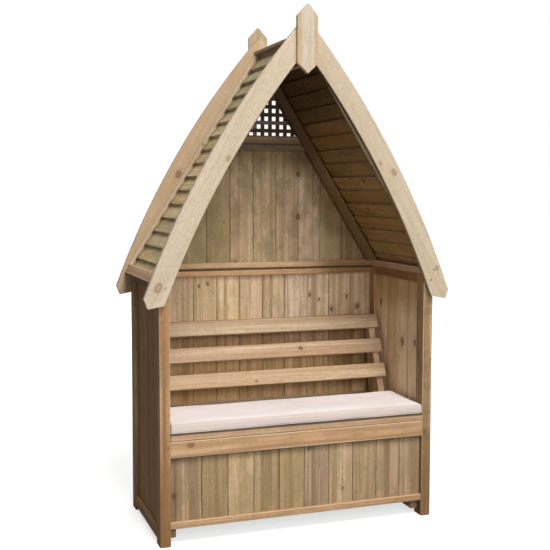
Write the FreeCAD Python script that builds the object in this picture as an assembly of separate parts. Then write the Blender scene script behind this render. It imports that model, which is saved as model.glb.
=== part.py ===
import FreeCAD, Part
import math
import os

# An arbour seat: a timber storage bench between two side frames, under a steep slatted roof
# whose straight slopes are dressed with curved bargeboards that meet at a pointed finial.
# Millimetres. X runs across the seat, the front looks along -Y, Z points up from the ground.

# Side frames
FRAME_WIDTH = 1250.0
FRAME_DEPTH = 600.0
POST_WIDTH = 45.0
POST_DEPTH = 70.0
POST_TOP = 1110.0
SIDE_TOP_RAIL_HEIGHT = 45.0
SIDE_BOTTOM_RAIL_HEIGHT = 45.0
SIDE_BOTTOM_RAIL_LIFT = 20.0
EDGE_EASE = 2.5
BACK_RAIL_EASE = 4.0

# Matched boards of the walls
BOARD_THICK = 12.0
BOARD_COVER = 115.0
BOARD_V_CUT = 2.2
TONGUE_LENGTH = 5.0
TONGUE_THICK = 4.0
TONGUE_CLEARANCE = 0.3
PANEL_HOUSING = 8.0
PANEL_CLEARANCE = 0.3
NARROWEST_BOARD = 25.0
WALL_FIRST_BOARD = 131.0
BOX_FIRST_BOARD = 137.0
GABLE_JOINT_X = 77.0

# Back wall and gable
BACK_RAIL_THICK = 22.0
BACK_TOP_RAIL_HEIGHT = 32.0
BACK_BOTTOM_RAIL_HEIGHT = 45.0
BACK_PANEL_DROP = 5.0
GABLE_TOP_RAIL_HEIGHT = 30.0
GABLE_BOARDS_RISE = 564.0

# Trellis in the top of the gable
TRELLIS_RAIL_HEIGHT = 40.0
LATH_WIDTH = 18.0
LATH_PITCH = 38.0
LATH_COLUMN_X = 11.6
LATH_ROW_RISE = 26.7
SHORTEST_LATH = 30.0
GUSSET_HEIGHT = 194.0

# Roof slopes
ROOF_RISE = 968.0
ROOF_FOOT_INSET = 25.7
EAVES_BEAM_HEIGHT = 27.0
EAVES_LIP_DROP = 7.0
EAVES_PROUD = 5.0
RAFTER_WIDTH = 42.0
RAFTER_DEPTH = 44.0
RAFTER_BEVEL = 5.0
SLAT_COUNT = 16
SLAT_LAP = 11.9
SLAT_THICK_EDGE = 14.0
SLAT_THIN_EDGE = 7.0
FIRST_SLAT_EXPOSED = 26.6
TOP_SLAT_EXPOSED = 88.5
REAR_VERGE_GAP = 8.0
VERGE_BATTEN_WIDTH = 20.0
VERGE_BATTEN_HEIGHT = 32.0
RIDGE_CAP_WIDTH = 60.0
RIDGE_CAP_THICK = 16.0
RIDGE_BEAM_WIDTH = 20.0
RIDGE_BEAM_HEIGHT = 117.0
RIDGE_BEAM_RISE = 17.0

# Curved bargeboards
BARGE_THICK = 25.0
BARGE_WIDTH = 91.0
BARGE_RADIUS = 3904.0
BARGE_APEX_RISE = 103.0
BARGE_FOOT_DROP = 70.0
BARGE_OVERHANG = 65.6
BARGE_TIP_INSET = 15.6
BARGE_TIP_DROP = 40.0
BARGE_HEEL_RISE = 12.0
BARGE_HEEL_OUT = 9.0
BARGE_HEEL_CUT = 15.0

# Screws through the feet of the bargeboards
SCREW_RADIUS = 2.5
SCREW_HEAD_RADIUS = 5.0
SCREW_HEAD_DEPTH = 2.5
SCREW_LENGTH = 65.0
SCREW_CLEARANCE = 0.05
POST_SCREW_DROP = 25.0
BEAM_SCREW_RISE = 20.0
BEAM_SCREW_OUT = 14.5

# Finials
FINIAL_WIDTH = 90.0
FINIAL_THICK = 26.0
FINIAL_LENGTH = 287.0
FINIAL_TIP_RISE = 47.0
FINIAL_SHOULDER_DROP = 50.0
FINIAL_POINT_RISE = 42.0
FINIAL_BEVEL_WIDTH = 20.0
FINIAL_BEVEL_DEPTH = 7.0

# Storage box
SEAT_TOP = 472.5
SEAT_BOARD_THICK = 20.0
LID_LIP_HEIGHT = 28.5
LID_LIP_GAP = 2.5
FASCIA_HEIGHT = 68.5
FASCIA_THICK = 22.0
BOX_RAIL_BOTTOM = 71.0
BOX_RAIL_HEIGHT = 29.0
BOX_RAIL_THICK = 16.0
LEDGER_WIDTH = 35.0
LEDGER_HEIGHT = 45.0
BEARER_WIDTH = 31.0
BEARER_HEIGHT = 48.0
BEARER_SETBACK = 11.0
FLOOR_THICK = 18.0
BACK_LEDGER_DEPTH = 44.0

# Lid, hinges and the fixed boards behind them
LID_SIDE_GAP = 2.0
REAR_SEAT_DEPTH = 256.0
HINGE_GAP = 4.0
LID_BOARD_COUNT = 3
REAR_BOARD_COUNT = 2
SEAT_BOARD_GAP = 2.0
LID_BATTEN_WIDTH = 45.0
LID_BATTEN_THICK = 20.0
LID_BATTEN_SPACING = 450.0
LID_BATTEN_GAP = 6.0
HINGE_SPACING = 800.0
HINGE_LEAF_THICK = 1.5
HINGE_LEAF_HEIGHT = 24.0
HINGE_BARREL_RADIUS = 4.0
HINGE_KNUCKLE_LENGTH = 24.8
HINGE_KNUCKLE_GAP = 0.3
HINGE_LIFT = 0.3
PIN_RADIUS = 2.0
PIN_CLEARANCE = 0.05
PIN_HEAD_RADIUS = 3.4
PIN_HEAD_THICK = 1.2

# Backrest
BACKREST_LEAN = math.radians(22.8)
BACKREST_SETBACK = 181.0
BACKREST_SETBACK_RISE = 165.5
BACKREST_SLAT_COUNT = 3
BACKREST_SLAT_WIDTH = 68.0
BACKREST_SLAT_THICK = 22.0
BACKREST_SLAT_PITCH = 124.2
BACKREST_LOWEST_RISE = 106.5
SUPPORT_WIDTH = 30.0
SUPPORT_INSET = 12.0
SUPPORT_HEIGHT = 393.5
SUPPORT_FOOT_LENGTH = 126.0
BACKREST_RAIL_DEPTH = 38.0
BACKREST_RAIL_HEIGHT = 40.0
BACKREST_RAIL_RISE = 389.5

# Cushion
CUSHION_SIDE_GAP = 1.0
CUSHION_FRONT_OVERHANG = 8.0
CUSHION_REAR_INSET = 2.0
CUSHION_EDGE_HEIGHT = 42.0
CUSHION_CROWN = 14.0
CUSHION_EDGE_BULGE = 9.0
CUSHION_DRAW_IN = 5.0
CUSHION_END_ROUND = 24.0
CUSHION_LIFT = 0.3

# Sizes that follow from the ones above
HALF_WIDTH = FRAME_WIDTH / 2
HALF_DEPTH = FRAME_DEPTH / 2
INNER_X = HALF_WIDTH - POST_WIDTH
INNER_Y = HALF_DEPTH - POST_DEPTH
POST_CENTRE_X = HALF_WIDTH - POST_WIDTH / 2
SIDE_RAIL_TOP = SIDE_BOTTOM_RAIL_LIFT + SIDE_BOTTOM_RAIL_HEIGHT
SIDE_RAIL_UNDER = POST_TOP - SIDE_TOP_RAIL_HEIGHT
SIDE_BOARDS_INNER = POST_CENTRE_X - BOARD_THICK / 2
SIDE_BOARDS_OUTER = POST_CENTRE_X + BOARD_THICK / 2
BACK_BOARDS_FRONT = HALF_DEPTH - BOARD_THICK
BACK_RAILS_FRONT = BACK_BOARDS_FRONT - BACK_RAIL_THICK
BACK_PANEL_TOP = POST_TOP - BACK_PANEL_DROP
EAVES_TOP = POST_TOP + EAVES_BEAM_HEIGHT
GABLE_BOARDS_TOP = EAVES_TOP + GABLE_BOARDS_RISE
ROOF_FOOT_X = HALF_WIDTH - ROOF_FOOT_INSET
RIDGE_Z = EAVES_TOP + ROOF_RISE
ROOF_LEAN = math.atan2(ROOF_FOOT_X, ROOF_RISE)
ROOF_SLOPE = math.hypot(ROOF_FOOT_X, ROOF_RISE)
RIDGE_CAP_UNDER = RIDGE_Z + RIDGE_BEAM_RISE
GUSSET_FOOT = RIDGE_Z - GUSSET_HEIGHT
SLAT_PITCH = (ROOF_SLOPE - TOP_SLAT_EXPOSED - FIRST_SLAT_EXPOSED) / (SLAT_COUNT - 2)
SLAT_WIDTH = SLAT_PITCH + SLAT_LAP
SLAT_SEAT = SLAT_THICK_EDGE * SLAT_WIDTH / SLAT_PITCH - (SLAT_THICK_EDGE - SLAT_THIN_EDGE)
ROOF_BUILD_UP = SLAT_SEAT + SLAT_THICK_EDGE
SLATS_FRONT = -HALF_DEPTH + VERGE_BATTEN_WIDTH
SLATS_BACK = HALF_DEPTH - VERGE_BATTEN_WIDTH - REAR_VERGE_GAP
RAFTER_FRONT = BACK_BOARDS_FRONT - RAFTER_DEPTH
BARGE_FOOT_X = HALF_WIDTH + BARGE_OVERHANG
BARGE_FOOT_Z = POST_TOP - BARGE_FOOT_DROP
BARGE_APEX_Z = RIDGE_Z + BARGE_APEX_RISE
BARGE_FRONT = -HALF_DEPTH - BARGE_THICK
FINIAL_TIP_Z = BARGE_APEX_Z + FINIAL_TIP_RISE
FINIAL_BOTTOM_Z = FINIAL_TIP_Z - FINIAL_LENGTH
LID_LIP_UNDER = SEAT_TOP - LID_LIP_HEIGHT
FASCIA_TOP = LID_LIP_UNDER - LID_LIP_GAP
BOX_BOARDS_FRONT = -HALF_DEPTH + FASCIA_THICK
BOX_BOARDS_BACK = BOX_BOARDS_FRONT + BOARD_THICK
BOARDS_UNDER = SEAT_TOP - SEAT_BOARD_THICK
LEDGER_UNDER = BOARDS_UNDER - LEDGER_HEIGHT
LEDGER_INNER_X = INNER_X - LEDGER_WIDTH
BEARER_UNDER = BOX_RAIL_BOTTOM - BEARER_HEIGHT
FLOOR_TOP = BOX_RAIL_BOTTOM + FLOOR_THICK
LID_X = INNER_X - LID_SIDE_GAP
HINGE_LINE_Y = BACK_BOARDS_FRONT - REAR_SEAT_DEPTH
LID_BACK = HINGE_LINE_Y - HINGE_GAP / 2
REAR_BOARDS_FRONT = HINGE_LINE_Y + HINGE_GAP / 2
HINGE_LINE_Z = SEAT_TOP + HINGE_BARREL_RADIUS + HINGE_LIFT
BACK_LEDGER_FRONT = BACK_BOARDS_FRONT - BACK_LEDGER_DEPTH
BACKREST_FRONT_Y = BACK_BOARDS_FRONT - BACKREST_SETBACK
BACKREST_FRONT_Z = SEAT_TOP + BACKREST_SETBACK_RISE
BACKREST_LOWEST_Z = SEAT_TOP + BACKREST_LOWEST_RISE
BACKREST_RAIL_TOP = SEAT_TOP + BACKREST_RAIL_RISE
BACKREST_RAIL_FRONT = BACK_BOARDS_FRONT - BACKREST_RAIL_DEPTH
SUPPORT_TOP = SEAT_TOP + SUPPORT_HEIGHT
SUPPORT_OUTER_X = LID_X - SUPPORT_INSET


def prism(points, axis, low, high):
    """Extrude a closed outline along an axis; its points hold the two other coordinates."""
    place = {
        "x": lambda p: FreeCAD.Vector(low, p[0], p[1]),
        "y": lambda p: FreeCAD.Vector(p[0], low, p[1]),
        "z": lambda p: FreeCAD.Vector(p[0], p[1], low),
    }[axis]
    corners = [place(point) for point in points]
    face = Part.Face(Part.makePolygon(corners + corners[:1]))
    return face.extrude(direction(axis) * (high - low))


def direction(axis):
    """The unit vector of an axis."""
    return FreeCAD.Vector(*[float(axis == name) for name in "xyz"])


def eased_rectangle(first, second, ease):
    """A rectangle between two (low, high) pairs, with its corners cut by the ease."""
    (a, b), (c, d) = first, second
    return [(a + ease, c), (b - ease, c), (b, c + ease), (b, d - ease),
            (b - ease, d), (a + ease, d), (a, d - ease), (a, c + ease)]


def timber(axis, x, y, z, ease=EDGE_EASE):
    """A straight timber along an axis between (low, high) pairs, its long edges eased."""
    spans = {"x": x, "y": y, "z": z}
    low, high = spans.pop(axis)
    return prism(eased_rectangle(*spans.values(), ease), axis, low, high)


def box(x, y, z):
    """A plain block between (low, high) pairs."""
    corner = FreeCAD.Vector(x[0], y[0], z[0])
    return Part.makeBox(x[1] - x[0], y[1] - y[0], z[1] - z[0], corner)


def cylinder(radius, axis, low, high, across):
    """A round bar along an axis; across holds the two other coordinates of its centre."""
    start = {
        "x": FreeCAD.Vector(low, across[0], across[1]),
        "y": FreeCAD.Vector(across[0], low, across[1]),
    }[axis]
    return Part.makeCylinder(radius, high - low, start, direction(axis))


def mirrored(shape, axis):
    """The shape's mirror image through the middle of the seat."""
    return shape.mirror(FreeCAD.Vector(0, 0, 0), direction(axis))


def save(name, *solids):
    """Write one node, which holds one solid or a group of like solids."""
    shape = solids[0] if len(solids) == 1 else Part.makeCompound(list(solids))
    shape.exportStep("parts/" + name + ".step")


def save_pair(name, right):
    """Write a right-hand node and its left-hand mirror image."""
    solids = right if isinstance(right, list) else [right]
    save(name + "_right", *solids)
    save(name + "_left", *[mirrored(solid, "x") for solid in solids])


# Matched boards: each has a tongue on its high edge, a groove on its low edge and V-cut arrises.

def board_spans(low, high, first_joint):
    """Where the joints of a row of boards fall between two ends; thin rips join a neighbour."""
    joints = [low]
    joint = first_joint
    while joint < high - NARROWEST_BOARD:
        if joint > low + NARROWEST_BOARD:
            joints.append(joint)
        joint += BOARD_COVER
    joints.append(high)
    return list(zip(joints[:-1], joints[1:]))


def board_outline(span, face, back, has_groove, has_tongue):
    """Section of one matched board as (across, through) points, face side first."""
    low, high = span
    middle = (face + back) / 2
    turn = math.copysign(1, back - face)
    tongue = turn * TONGUE_THICK / 2
    groove = tongue + turn * TONGUE_CLEARANCE / 2
    cut = turn * BOARD_V_CUT
    points = [(low, face + cut), (low + BOARD_V_CUT, face), (high - BOARD_V_CUT, face), (high, face + cut)]
    if has_tongue:
        reach = high + TONGUE_LENGTH
        points += [(high, middle - tongue), (reach, middle - tongue),
                   (reach, middle + tongue), (high, middle + tongue)]
    points += [(high, back - cut), (high - BOARD_V_CUT, back), (low + BOARD_V_CUT, back), (low, back - cut)]
    if has_groove:
        floor = low + TONGUE_LENGTH + TONGUE_CLEARANCE
        points += [(low, middle + groove), (floor, middle + groove),
                   (floor, middle - groove), (low, middle - groove)]
    return points


def board_outlines(low, high, first_joint, face, back):
    """Sections of a whole row of matched boards."""
    spans = board_spans(low, high, first_joint)
    last = len(spans) - 1
    return [board_outline(span, face, back, index > 0, index < last) for index, span in enumerate(spans)]


def wall_boards(low, high, first_joint, face, back, foot, head):
    """Upright boards side by side along X."""
    outlines = board_outlines(low, high, first_joint, face, back)
    return [prism(outline, "z", foot, head) for outline in outlines]


# Side frames: posts and rails are grooved for the boards.

def side_boards():
    """Upright boards of the right side, let into the frame all round."""
    reach = INNER_Y + PANEL_HOUSING
    outlines = board_outlines(-reach, reach, -INNER_Y + BOARD_COVER, SIDE_BOARDS_INNER, SIDE_BOARDS_OUTER)
    swapped = [[(through, across) for across, through in outline] for outline in outlines]
    foot = SIDE_RAIL_TOP - PANEL_HOUSING
    return [prism(outline, "z", foot, SIDE_RAIL_UNDER + PANEL_HOUSING) for outline in swapped]


def side_groove():
    """The space that the side's boards take out of its frame."""
    reach = INNER_Y + PANEL_HOUSING + PANEL_CLEARANCE
    housing = PANEL_HOUSING + PANEL_CLEARANCE
    x = (SIDE_BOARDS_INNER - PANEL_CLEARANCE, SIDE_BOARDS_OUTER + PANEL_CLEARANCE)
    return box(x, (-reach, reach), (SIDE_RAIL_TOP - housing, SIDE_RAIL_UNDER + housing))


def side_frames():
    """Four posts with the rails and boards between them."""
    groove = side_groove()
    x = (INNER_X, HALF_WIDTH)
    between = (-INNER_Y, INNER_Y)
    holes = Part.makeCompound(screw_group(SCREW_CLEARANCE))
    for name, y in (("front", (-HALF_DEPTH, -INNER_Y)), ("rear", (INNER_Y, HALF_DEPTH))):
        post = timber("z", x, y, (0, POST_TOP)).cut(groove).cut(holes)
        save_pair("post_" + name, post)
    save_pair("side_top_rail", timber("y", x, between, (SIDE_RAIL_UNDER, POST_TOP)).cut(groove))
    bottom = timber("y", x, between, (SIDE_BOTTOM_RAIL_LIFT, SIDE_RAIL_TOP)).cut(groove)
    save_pair("side_bottom_rail", bottom)
    save_pair("side_boards", side_boards())


# Back wall, gable and trellis.

def roof_height(x, out=0.0):
    """Height of the line that lies a distance out from the roof slope, at a place across."""
    return RIDGE_Z - abs(x) / math.tan(ROOF_LEAN) + out / math.sin(ROOF_LEAN)


def roof_reach(z, out=0.0):
    """Half width of the roof at a height, for a line that lies a distance out from the slope."""
    return (RIDGE_Z - z) * math.tan(ROOF_LEAN) + out / math.cos(ROOF_LEAN)


def between_slopes(foot, head, out):
    """A trapezium under both roof slopes, between two heights."""
    low = roof_reach(foot, out)
    high = roof_reach(head, out)
    return [(-low, foot), (low, foot), (high, head), (-high, head)]


def back_wall():
    """Lower panel between the rear posts: two rails, and boards behind them."""
    x = (-INNER_X, INNER_X)
    rails = (BACK_RAILS_FRONT, BACK_BOARDS_FRONT)
    foot = BEARER_UNDER
    top = (BACK_PANEL_TOP - BACK_TOP_RAIL_HEIGHT, BACK_PANEL_TOP)
    save("back_top_rail", timber("x", x, rails, top, BACK_RAIL_EASE))
    save("back_bottom_rail", timber("x", x, rails, (foot, foot + BACK_BOTTOM_RAIL_HEIGHT), BACK_RAIL_EASE))
    joint = -INNER_X + WALL_FIRST_BOARD
    boards = wall_boards(*x, joint, BACK_BOARDS_FRONT, HALF_DEPTH, foot, BACK_PANEL_TOP)
    save("back_boards", *boards)


def gable_envelope():
    """The space that the gable's boards fill: above the back panel, inside the eaves and slopes."""
    slopes = between_slopes(EAVES_TOP, GABLE_BOARDS_TOP, 0.0)
    foot = [(-INNER_X, EAVES_TOP), (-INNER_X, BACK_PANEL_TOP),
            (INNER_X, BACK_PANEL_TOP), (INNER_X, EAVES_TOP)]
    return prism(foot + slopes[1:] + slopes[:1], "y", BACK_RAILS_FRONT, HALF_DEPTH)


def gable():
    """Gable panel: rails between the rafters, and boards behind them cut to the roof slope."""
    rails = (BACK_RAILS_FRONT, BACK_BOARDS_FRONT)
    bottom_rail = timber("x", (-INNER_X, INNER_X), rails, (BACK_PANEL_TOP, EAVES_TOP), BACK_RAIL_EASE)
    save("gable_bottom_rail", bottom_rail)
    top_rail = between_slopes(GABLE_BOARDS_TOP - GABLE_TOP_RAIL_HEIGHT, GABLE_BOARDS_TOP, -RAFTER_WIDTH)
    save("gable_top_rail", prism(top_rail, "y", *rails))
    reach = roof_reach(EAVES_TOP)
    joint = GABLE_JOINT_X - BOARD_COVER * math.ceil((GABLE_JOINT_X + reach) / BOARD_COVER)
    boards = wall_boards(-reach, reach, joint, BACK_BOARDS_FRONT, HALF_DEPTH,
                         BACK_PANEL_TOP, GABLE_BOARDS_TOP)
    envelope = gable_envelope()
    save("gable_boards", *[board.common(envelope).Solids[0] for board in boards])


def lath_places(start, low, high):
    """Centres of laths at the trellis pitch, from one known centre, inside two limits."""
    first = math.ceil((low - start) / LATH_PITCH)
    last = math.floor((high - start) / LATH_PITCH)
    return [start + LATH_PITCH * step for step in range(first, last + 1)]


def trellis():
    """Square trellis of two layers of laths behind the rafters, on its own bottom rail."""
    foot = GABLE_BOARDS_TOP
    rails = (BACK_RAILS_FRONT, BACK_BOARDS_FRONT)
    rail = between_slopes(foot, foot + TRELLIS_RAIL_HEIGHT, -RAFTER_WIDTH)
    save("trellis_bottom_rail", prism(rail, "y", *rails))
    gusset = [(-roof_reach(GUSSET_FOOT, -RAFTER_WIDTH), GUSSET_FOOT),
              (roof_reach(GUSSET_FOOT, -RAFTER_WIDTH), GUSSET_FOOT), (0, roof_height(0, -RAFTER_WIDTH))]
    save("gable_gusset", prism(gusset, "y", *rails))
    middle = BACK_BOARDS_FRONT + BOARD_THICK / 2
    slope = [(-roof_reach(foot), foot), (roof_reach(foot), foot), (0, RIDGE_Z)]
    half = LATH_WIDTH / 2
    side = roof_reach(foot + SHORTEST_LATH) - half
    uprights = []
    for x in lath_places(LATH_COLUMN_X, -side, side):
        lath = box((x - half, x + half), (middle, HALF_DEPTH), (foot, RIDGE_Z))
        uprights.append(lath.common(prism(slope, "y", middle, HALF_DEPTH)).Solids[0])
    save("trellis_uprights", *uprights)
    top = roof_height(SHORTEST_LATH / 2) - half
    crosslaths = []
    for z in lath_places(foot + LATH_ROW_RISE, foot + half, top):
        lath = between_slopes(z - half, z + half, 0.0)
        crosslaths.append(prism(lath, "y", BACK_BOARDS_FRONT, middle))
    save("trellis_crosslaths", *crosslaths)


# Roof: everything is set out on the right slope, from the top of the eaves beam to the ridge.

def roof_point(along, out):
    """The point a distance up the right slope and a distance out from it."""
    x = ROOF_FOOT_X - along * math.sin(ROOF_LEAN) + out * math.cos(ROOF_LEAN)
    z = EAVES_TOP + along * math.cos(ROOF_LEAN) + out * math.sin(ROOF_LEAN)
    return x, z


def roof_layer(inner, outer):
    """Outline of a straight member along the right slope, from the eaves beam to the ridge."""
    return [(roof_reach(EAVES_TOP, inner), EAVES_TOP), (roof_reach(EAVES_TOP, outer), EAVES_TOP),
            (0, roof_height(0, outer)), (0, roof_height(0, inner))]


def eaves_beam():
    """Beam on the post tops and side rail, with its outer face at the roof's slope and a lip."""
    lip = POST_TOP - EAVES_LIP_DROP
    proud = ROOF_BUILD_UP + EAVES_PROUD
    outline = [(INNER_X, POST_TOP), (HALF_WIDTH, POST_TOP), (HALF_WIDTH, lip), (roof_reach(lip, proud), lip),
               (roof_reach(EAVES_TOP, proud), EAVES_TOP), (INNER_X, EAVES_TOP)]
    return prism(outline, "y", -HALF_DEPTH, HALF_DEPTH).cut(Part.makeCompound(screw_group(SCREW_CLEARANCE)))


def rafter():
    """Rear rafter under the slats, with a bevelled front arris beside them."""
    body = prism(roof_layer(-RAFTER_WIDTH, 0.0), "y", RAFTER_FRONT, BACK_BOARDS_FRONT)
    edges = [edge for edge in body.Edges if is_slope_edge(edge, RAFTER_FRONT)]
    return body.makeChamfer(RAFTER_BEVEL, edges)


def is_slope_edge(edge, y):
    """Whether an edge runs up the roof slope at a given depth."""
    ends = [vertex.Point for vertex in edge.Vertexes]
    near = [abs(p.y - y) < 0.01 and abs(p.z - roof_height(p.x)) < 0.01 for p in ends]
    return all(near) and len(ends) == 2


def roof_slats():
    """Feather-edged slats, lapped like shingles from the eaves beam up to the ridge beam."""
    slats = []
    reach = roof_reach(EAVES_TOP, VERGE_BATTEN_HEIGHT)
    between = box((RIDGE_BEAM_WIDTH / 2, reach), (SLATS_FRONT, SLATS_BACK), (EAVES_TOP, RIDGE_CAP_UNDER))
    for index in range(SLAT_COUNT):
        low = FIRST_SLAT_EXPOSED + (index - 1) * SLAT_PITCH
        outline = [roof_point(low, SLAT_SEAT), roof_point(low, ROOF_BUILD_UP),
                   roof_point(low + SLAT_WIDTH, SLAT_THIN_EDGE), roof_point(low + SLAT_WIDTH, 0.0)]
        slat = prism(outline, "y", SLATS_FRONT, SLATS_BACK)
        is_cut = index in (0, SLAT_COUNT - 1)
        slats.append(slat.common(between).Solids[0] if is_cut else slat)
    return slats


def verge_batten(gap):
    """Batten up the front edge of the right slope, under the ridge cap and a gap from the middle."""
    batten = prism(roof_layer(0.0, VERGE_BATTEN_HEIGHT), "y", -HALF_DEPTH, SLATS_FRONT)
    reach = roof_reach(EAVES_TOP, VERGE_BATTEN_HEIGHT)
    under_cap = box((gap, reach), (-HALF_DEPTH, SLATS_FRONT), (EAVES_TOP, RIDGE_CAP_UNDER))
    return batten.common(under_cap).Solids[0]


def ridge():
    """Beam that the slats and front battens butt against, and the flat capping board on it."""
    half = RIDGE_BEAM_WIDTH / 2
    beam = (RIDGE_CAP_UNDER - RIDGE_BEAM_HEIGHT, RIDGE_CAP_UNDER)
    save("ridge_beam", box((-half, half), (-HALF_DEPTH, RAFTER_FRONT), beam))
    half = RIDGE_CAP_WIDTH / 2
    cap = (RIDGE_CAP_UNDER, RIDGE_CAP_UNDER + RIDGE_CAP_THICK)
    save("ridge_cap", timber("y", (-half, half), (-HALF_DEPTH, HALF_DEPTH), cap))


def roof():
    """Rafters, slats, battens, ridge and eaves."""
    save_pair("eaves_beam", eaves_beam())
    save_pair("rafter", rafter())
    save_pair("roof_slats", roof_slats())
    ridge()
    front = verge_batten(RIDGE_BEAM_WIDTH / 2)
    save("verge_battens_front", front, mirrored(front, "x"))
    rear = mirrored(verge_batten(0.0), "y")
    save("verge_battens_rear", rear, mirrored(rear, "x"))


# Bargeboards: two concentric arcs, struck through the apex and the outer shoulder of the foot.

def barge_centre():
    """Centre of the right bargeboard's arcs, far out to the left and below the ground."""
    span = BARGE_FOOT_X
    fall = BARGE_FOOT_Z - BARGE_APEX_Z
    chord = math.hypot(span, fall)
    back = math.sqrt(BARGE_RADIUS ** 2 - (chord / 2) ** 2)
    return span / 2 + back * fall / chord, (BARGE_APEX_Z + BARGE_FOOT_Z) / 2 - back * span / chord


def on_barge(radius, z):
    """The point of an arc of the right bargeboard at a height."""
    x, low = barge_centre()
    return x + math.sqrt(radius ** 2 - (z - low) ** 2), z


def barge_apex(radius):
    """Height at which an arc of the right bargeboard meets the middle plane."""
    x, low = barge_centre()
    return low + math.sqrt(radius ** 2 - x ** 2)


def in_front(point):
    """A point of an outline, placed on the front face of the front bargeboards."""
    return FreeCAD.Vector(point[0], BARGE_FRONT, point[1])


def barge_arc(radius, foot):
    """An arc of the right bargeboard from the ridge plane down to a foot point."""
    apex = barge_apex(radius)
    middle = on_barge(radius, (apex + foot[1]) / 2)
    return Part.Arc(in_front((0, apex)), in_front(middle), in_front(foot)).toShape()


def barge_foot():
    """Corners of the clipped lower end, from the outer shoulder to the inner one."""
    outer = on_barge(BARGE_RADIUS, BARGE_FOOT_Z)
    tip = (outer[0] - BARGE_TIP_INSET, outer[1] - BARGE_TIP_DROP)
    heel_z = tip[1] + BARGE_HEEL_RISE
    inner = on_barge(BARGE_RADIUS - BARGE_WIDTH, heel_z + BARGE_HEEL_CUT)
    return [outer, tip, (inner[0] + BARGE_HEEL_OUT, heel_z), inner]


def bargeboard():
    """Right front bargeboard, with its two long front arrises eased."""
    inner_radius = BARGE_RADIUS - BARGE_WIDTH
    foot = barge_foot()
    outer_arc = barge_arc(BARGE_RADIUS, foot[0])
    inner_arc = barge_arc(inner_radius, foot[-1])
    ends = [Part.makeLine(in_front(a), in_front(b)) for a, b in zip(foot[:-1], foot[1:])]
    mitre = Part.makeLine(in_front((0, barge_apex(inner_radius))), in_front((0, barge_apex(BARGE_RADIUS))))
    outline = Part.Wire([outer_arc] + ends + [inner_arc, mitre])
    body = Part.Face(outline).extrude(direction("y") * BARGE_THICK)
    arrises = [edge for edge in body.Edges if is_front_arris(edge)]
    return body.makeChamfer(EDGE_EASE, arrises)


def is_front_arris(edge):
    """Whether an edge is one of the long curved edges of the front face."""
    bounds = edge.BoundBox
    return bounds.YMax < BARGE_FRONT + EDGE_EASE and bounds.ZLength > BARGE_FOOT_X


def screw(x, z, clearance=0.0):
    """Countersunk screw through the front bargeboard into the frame, or the hole for it."""
    end = BARGE_FRONT + SCREW_LENGTH + clearance
    shank = cylinder(SCREW_RADIUS + clearance, "y", BARGE_FRONT, end, (x, z))
    start = in_front((x, z))
    head = Part.makeCone(SCREW_HEAD_RADIUS + clearance, SCREW_RADIUS + clearance, SCREW_HEAD_DEPTH,
                         start, direction("y"))
    return shank.fuse(head).removeSplitter()


def screw_group(clearance=0.0):
    """Screws into the post and the eaves beam at each bargeboard's foot, or the holes for them."""
    in_post = screw(POST_CENTRE_X, POST_TOP - POST_SCREW_DROP, clearance)
    in_beam = screw(POST_CENTRE_X + BEAM_SCREW_OUT, POST_TOP + BEAM_SCREW_RISE, clearance)
    front = [in_post, in_beam]
    front += [mirrored(one, "x") for one in front]
    return front + [mirrored(one, "y") for one in front]


def finial():
    """Front finial: a pointed board over the joint of the bargeboards, with bevelled long edges."""
    half = FINIAL_WIDTH / 2
    shoulder = FINIAL_TIP_Z - FINIAL_SHOULDER_DROP
    corner = FINIAL_BOTTOM_Z + FINIAL_POINT_RISE
    outline = [(0, FINIAL_TIP_Z), (half, shoulder), (half, corner),
               (0, FINIAL_BOTTOM_Z), (-half, corner), (-half, shoulder)]
    front = BARGE_FRONT - FINIAL_THICK
    flat = half - FINIAL_BEVEL_WIDTH
    bevel = front + FINIAL_BEVEL_DEPTH
    section = [(-half, BARGE_FRONT), (half, BARGE_FRONT), (half, bevel),
               (flat, front), (-flat, front), (-half, bevel)]
    blank = prism(outline, "y", front, BARGE_FRONT)
    return blank.common(prism(section, "z", FINIAL_BOTTOM_Z, FINIAL_TIP_Z)).Solids[0]


def gable_ends():
    """Bargeboards, their screws and the finials, at the front and at the back."""
    holes = Part.makeCompound(screw_group(SCREW_CLEARANCE))
    front = bargeboard()
    save_pair("bargeboard_front", front.cut(holes))
    save_pair("bargeboard_rear", mirrored(front, "y").cut(holes))
    save("bargeboard_screws", *screw_group())
    save("finial_front", finial())
    save("finial_rear", mirrored(finial(), "y"))


# Storage box.

def box_front():
    """Front of the box: boards behind a fascia and a bottom rail, with a ledger inside."""
    x = (-INNER_X, INNER_X)
    fascia = (FASCIA_TOP - FASCIA_HEIGHT, FASCIA_TOP)
    save("box_fascia", timber("x", x, (-HALF_DEPTH, BOX_BOARDS_FRONT), fascia))
    rail = (BOX_RAIL_BOTTOM, BOX_RAIL_BOTTOM + BOX_RAIL_HEIGHT)
    depth = (BOX_BOARDS_FRONT - BOX_RAIL_THICK, BOX_BOARDS_FRONT)
    save("box_front_bottom_rail", timber("x", x, depth, rail))
    joint = -INNER_X + BOX_FIRST_BOARD
    boards = wall_boards(*x, joint, BOX_BOARDS_FRONT, BOX_BOARDS_BACK, BOX_RAIL_BOTTOM, FASCIA_TOP)
    save("box_front_boards", *boards)
    ledger = (-LEDGER_INNER_X, LEDGER_INNER_X)
    save("box_front_ledger", timber("x", ledger, (BOX_BOARDS_BACK, BOX_BOARDS_BACK + LEDGER_WIDTH),
                                    (LEDGER_UNDER, BOARDS_UNDER)))


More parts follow.
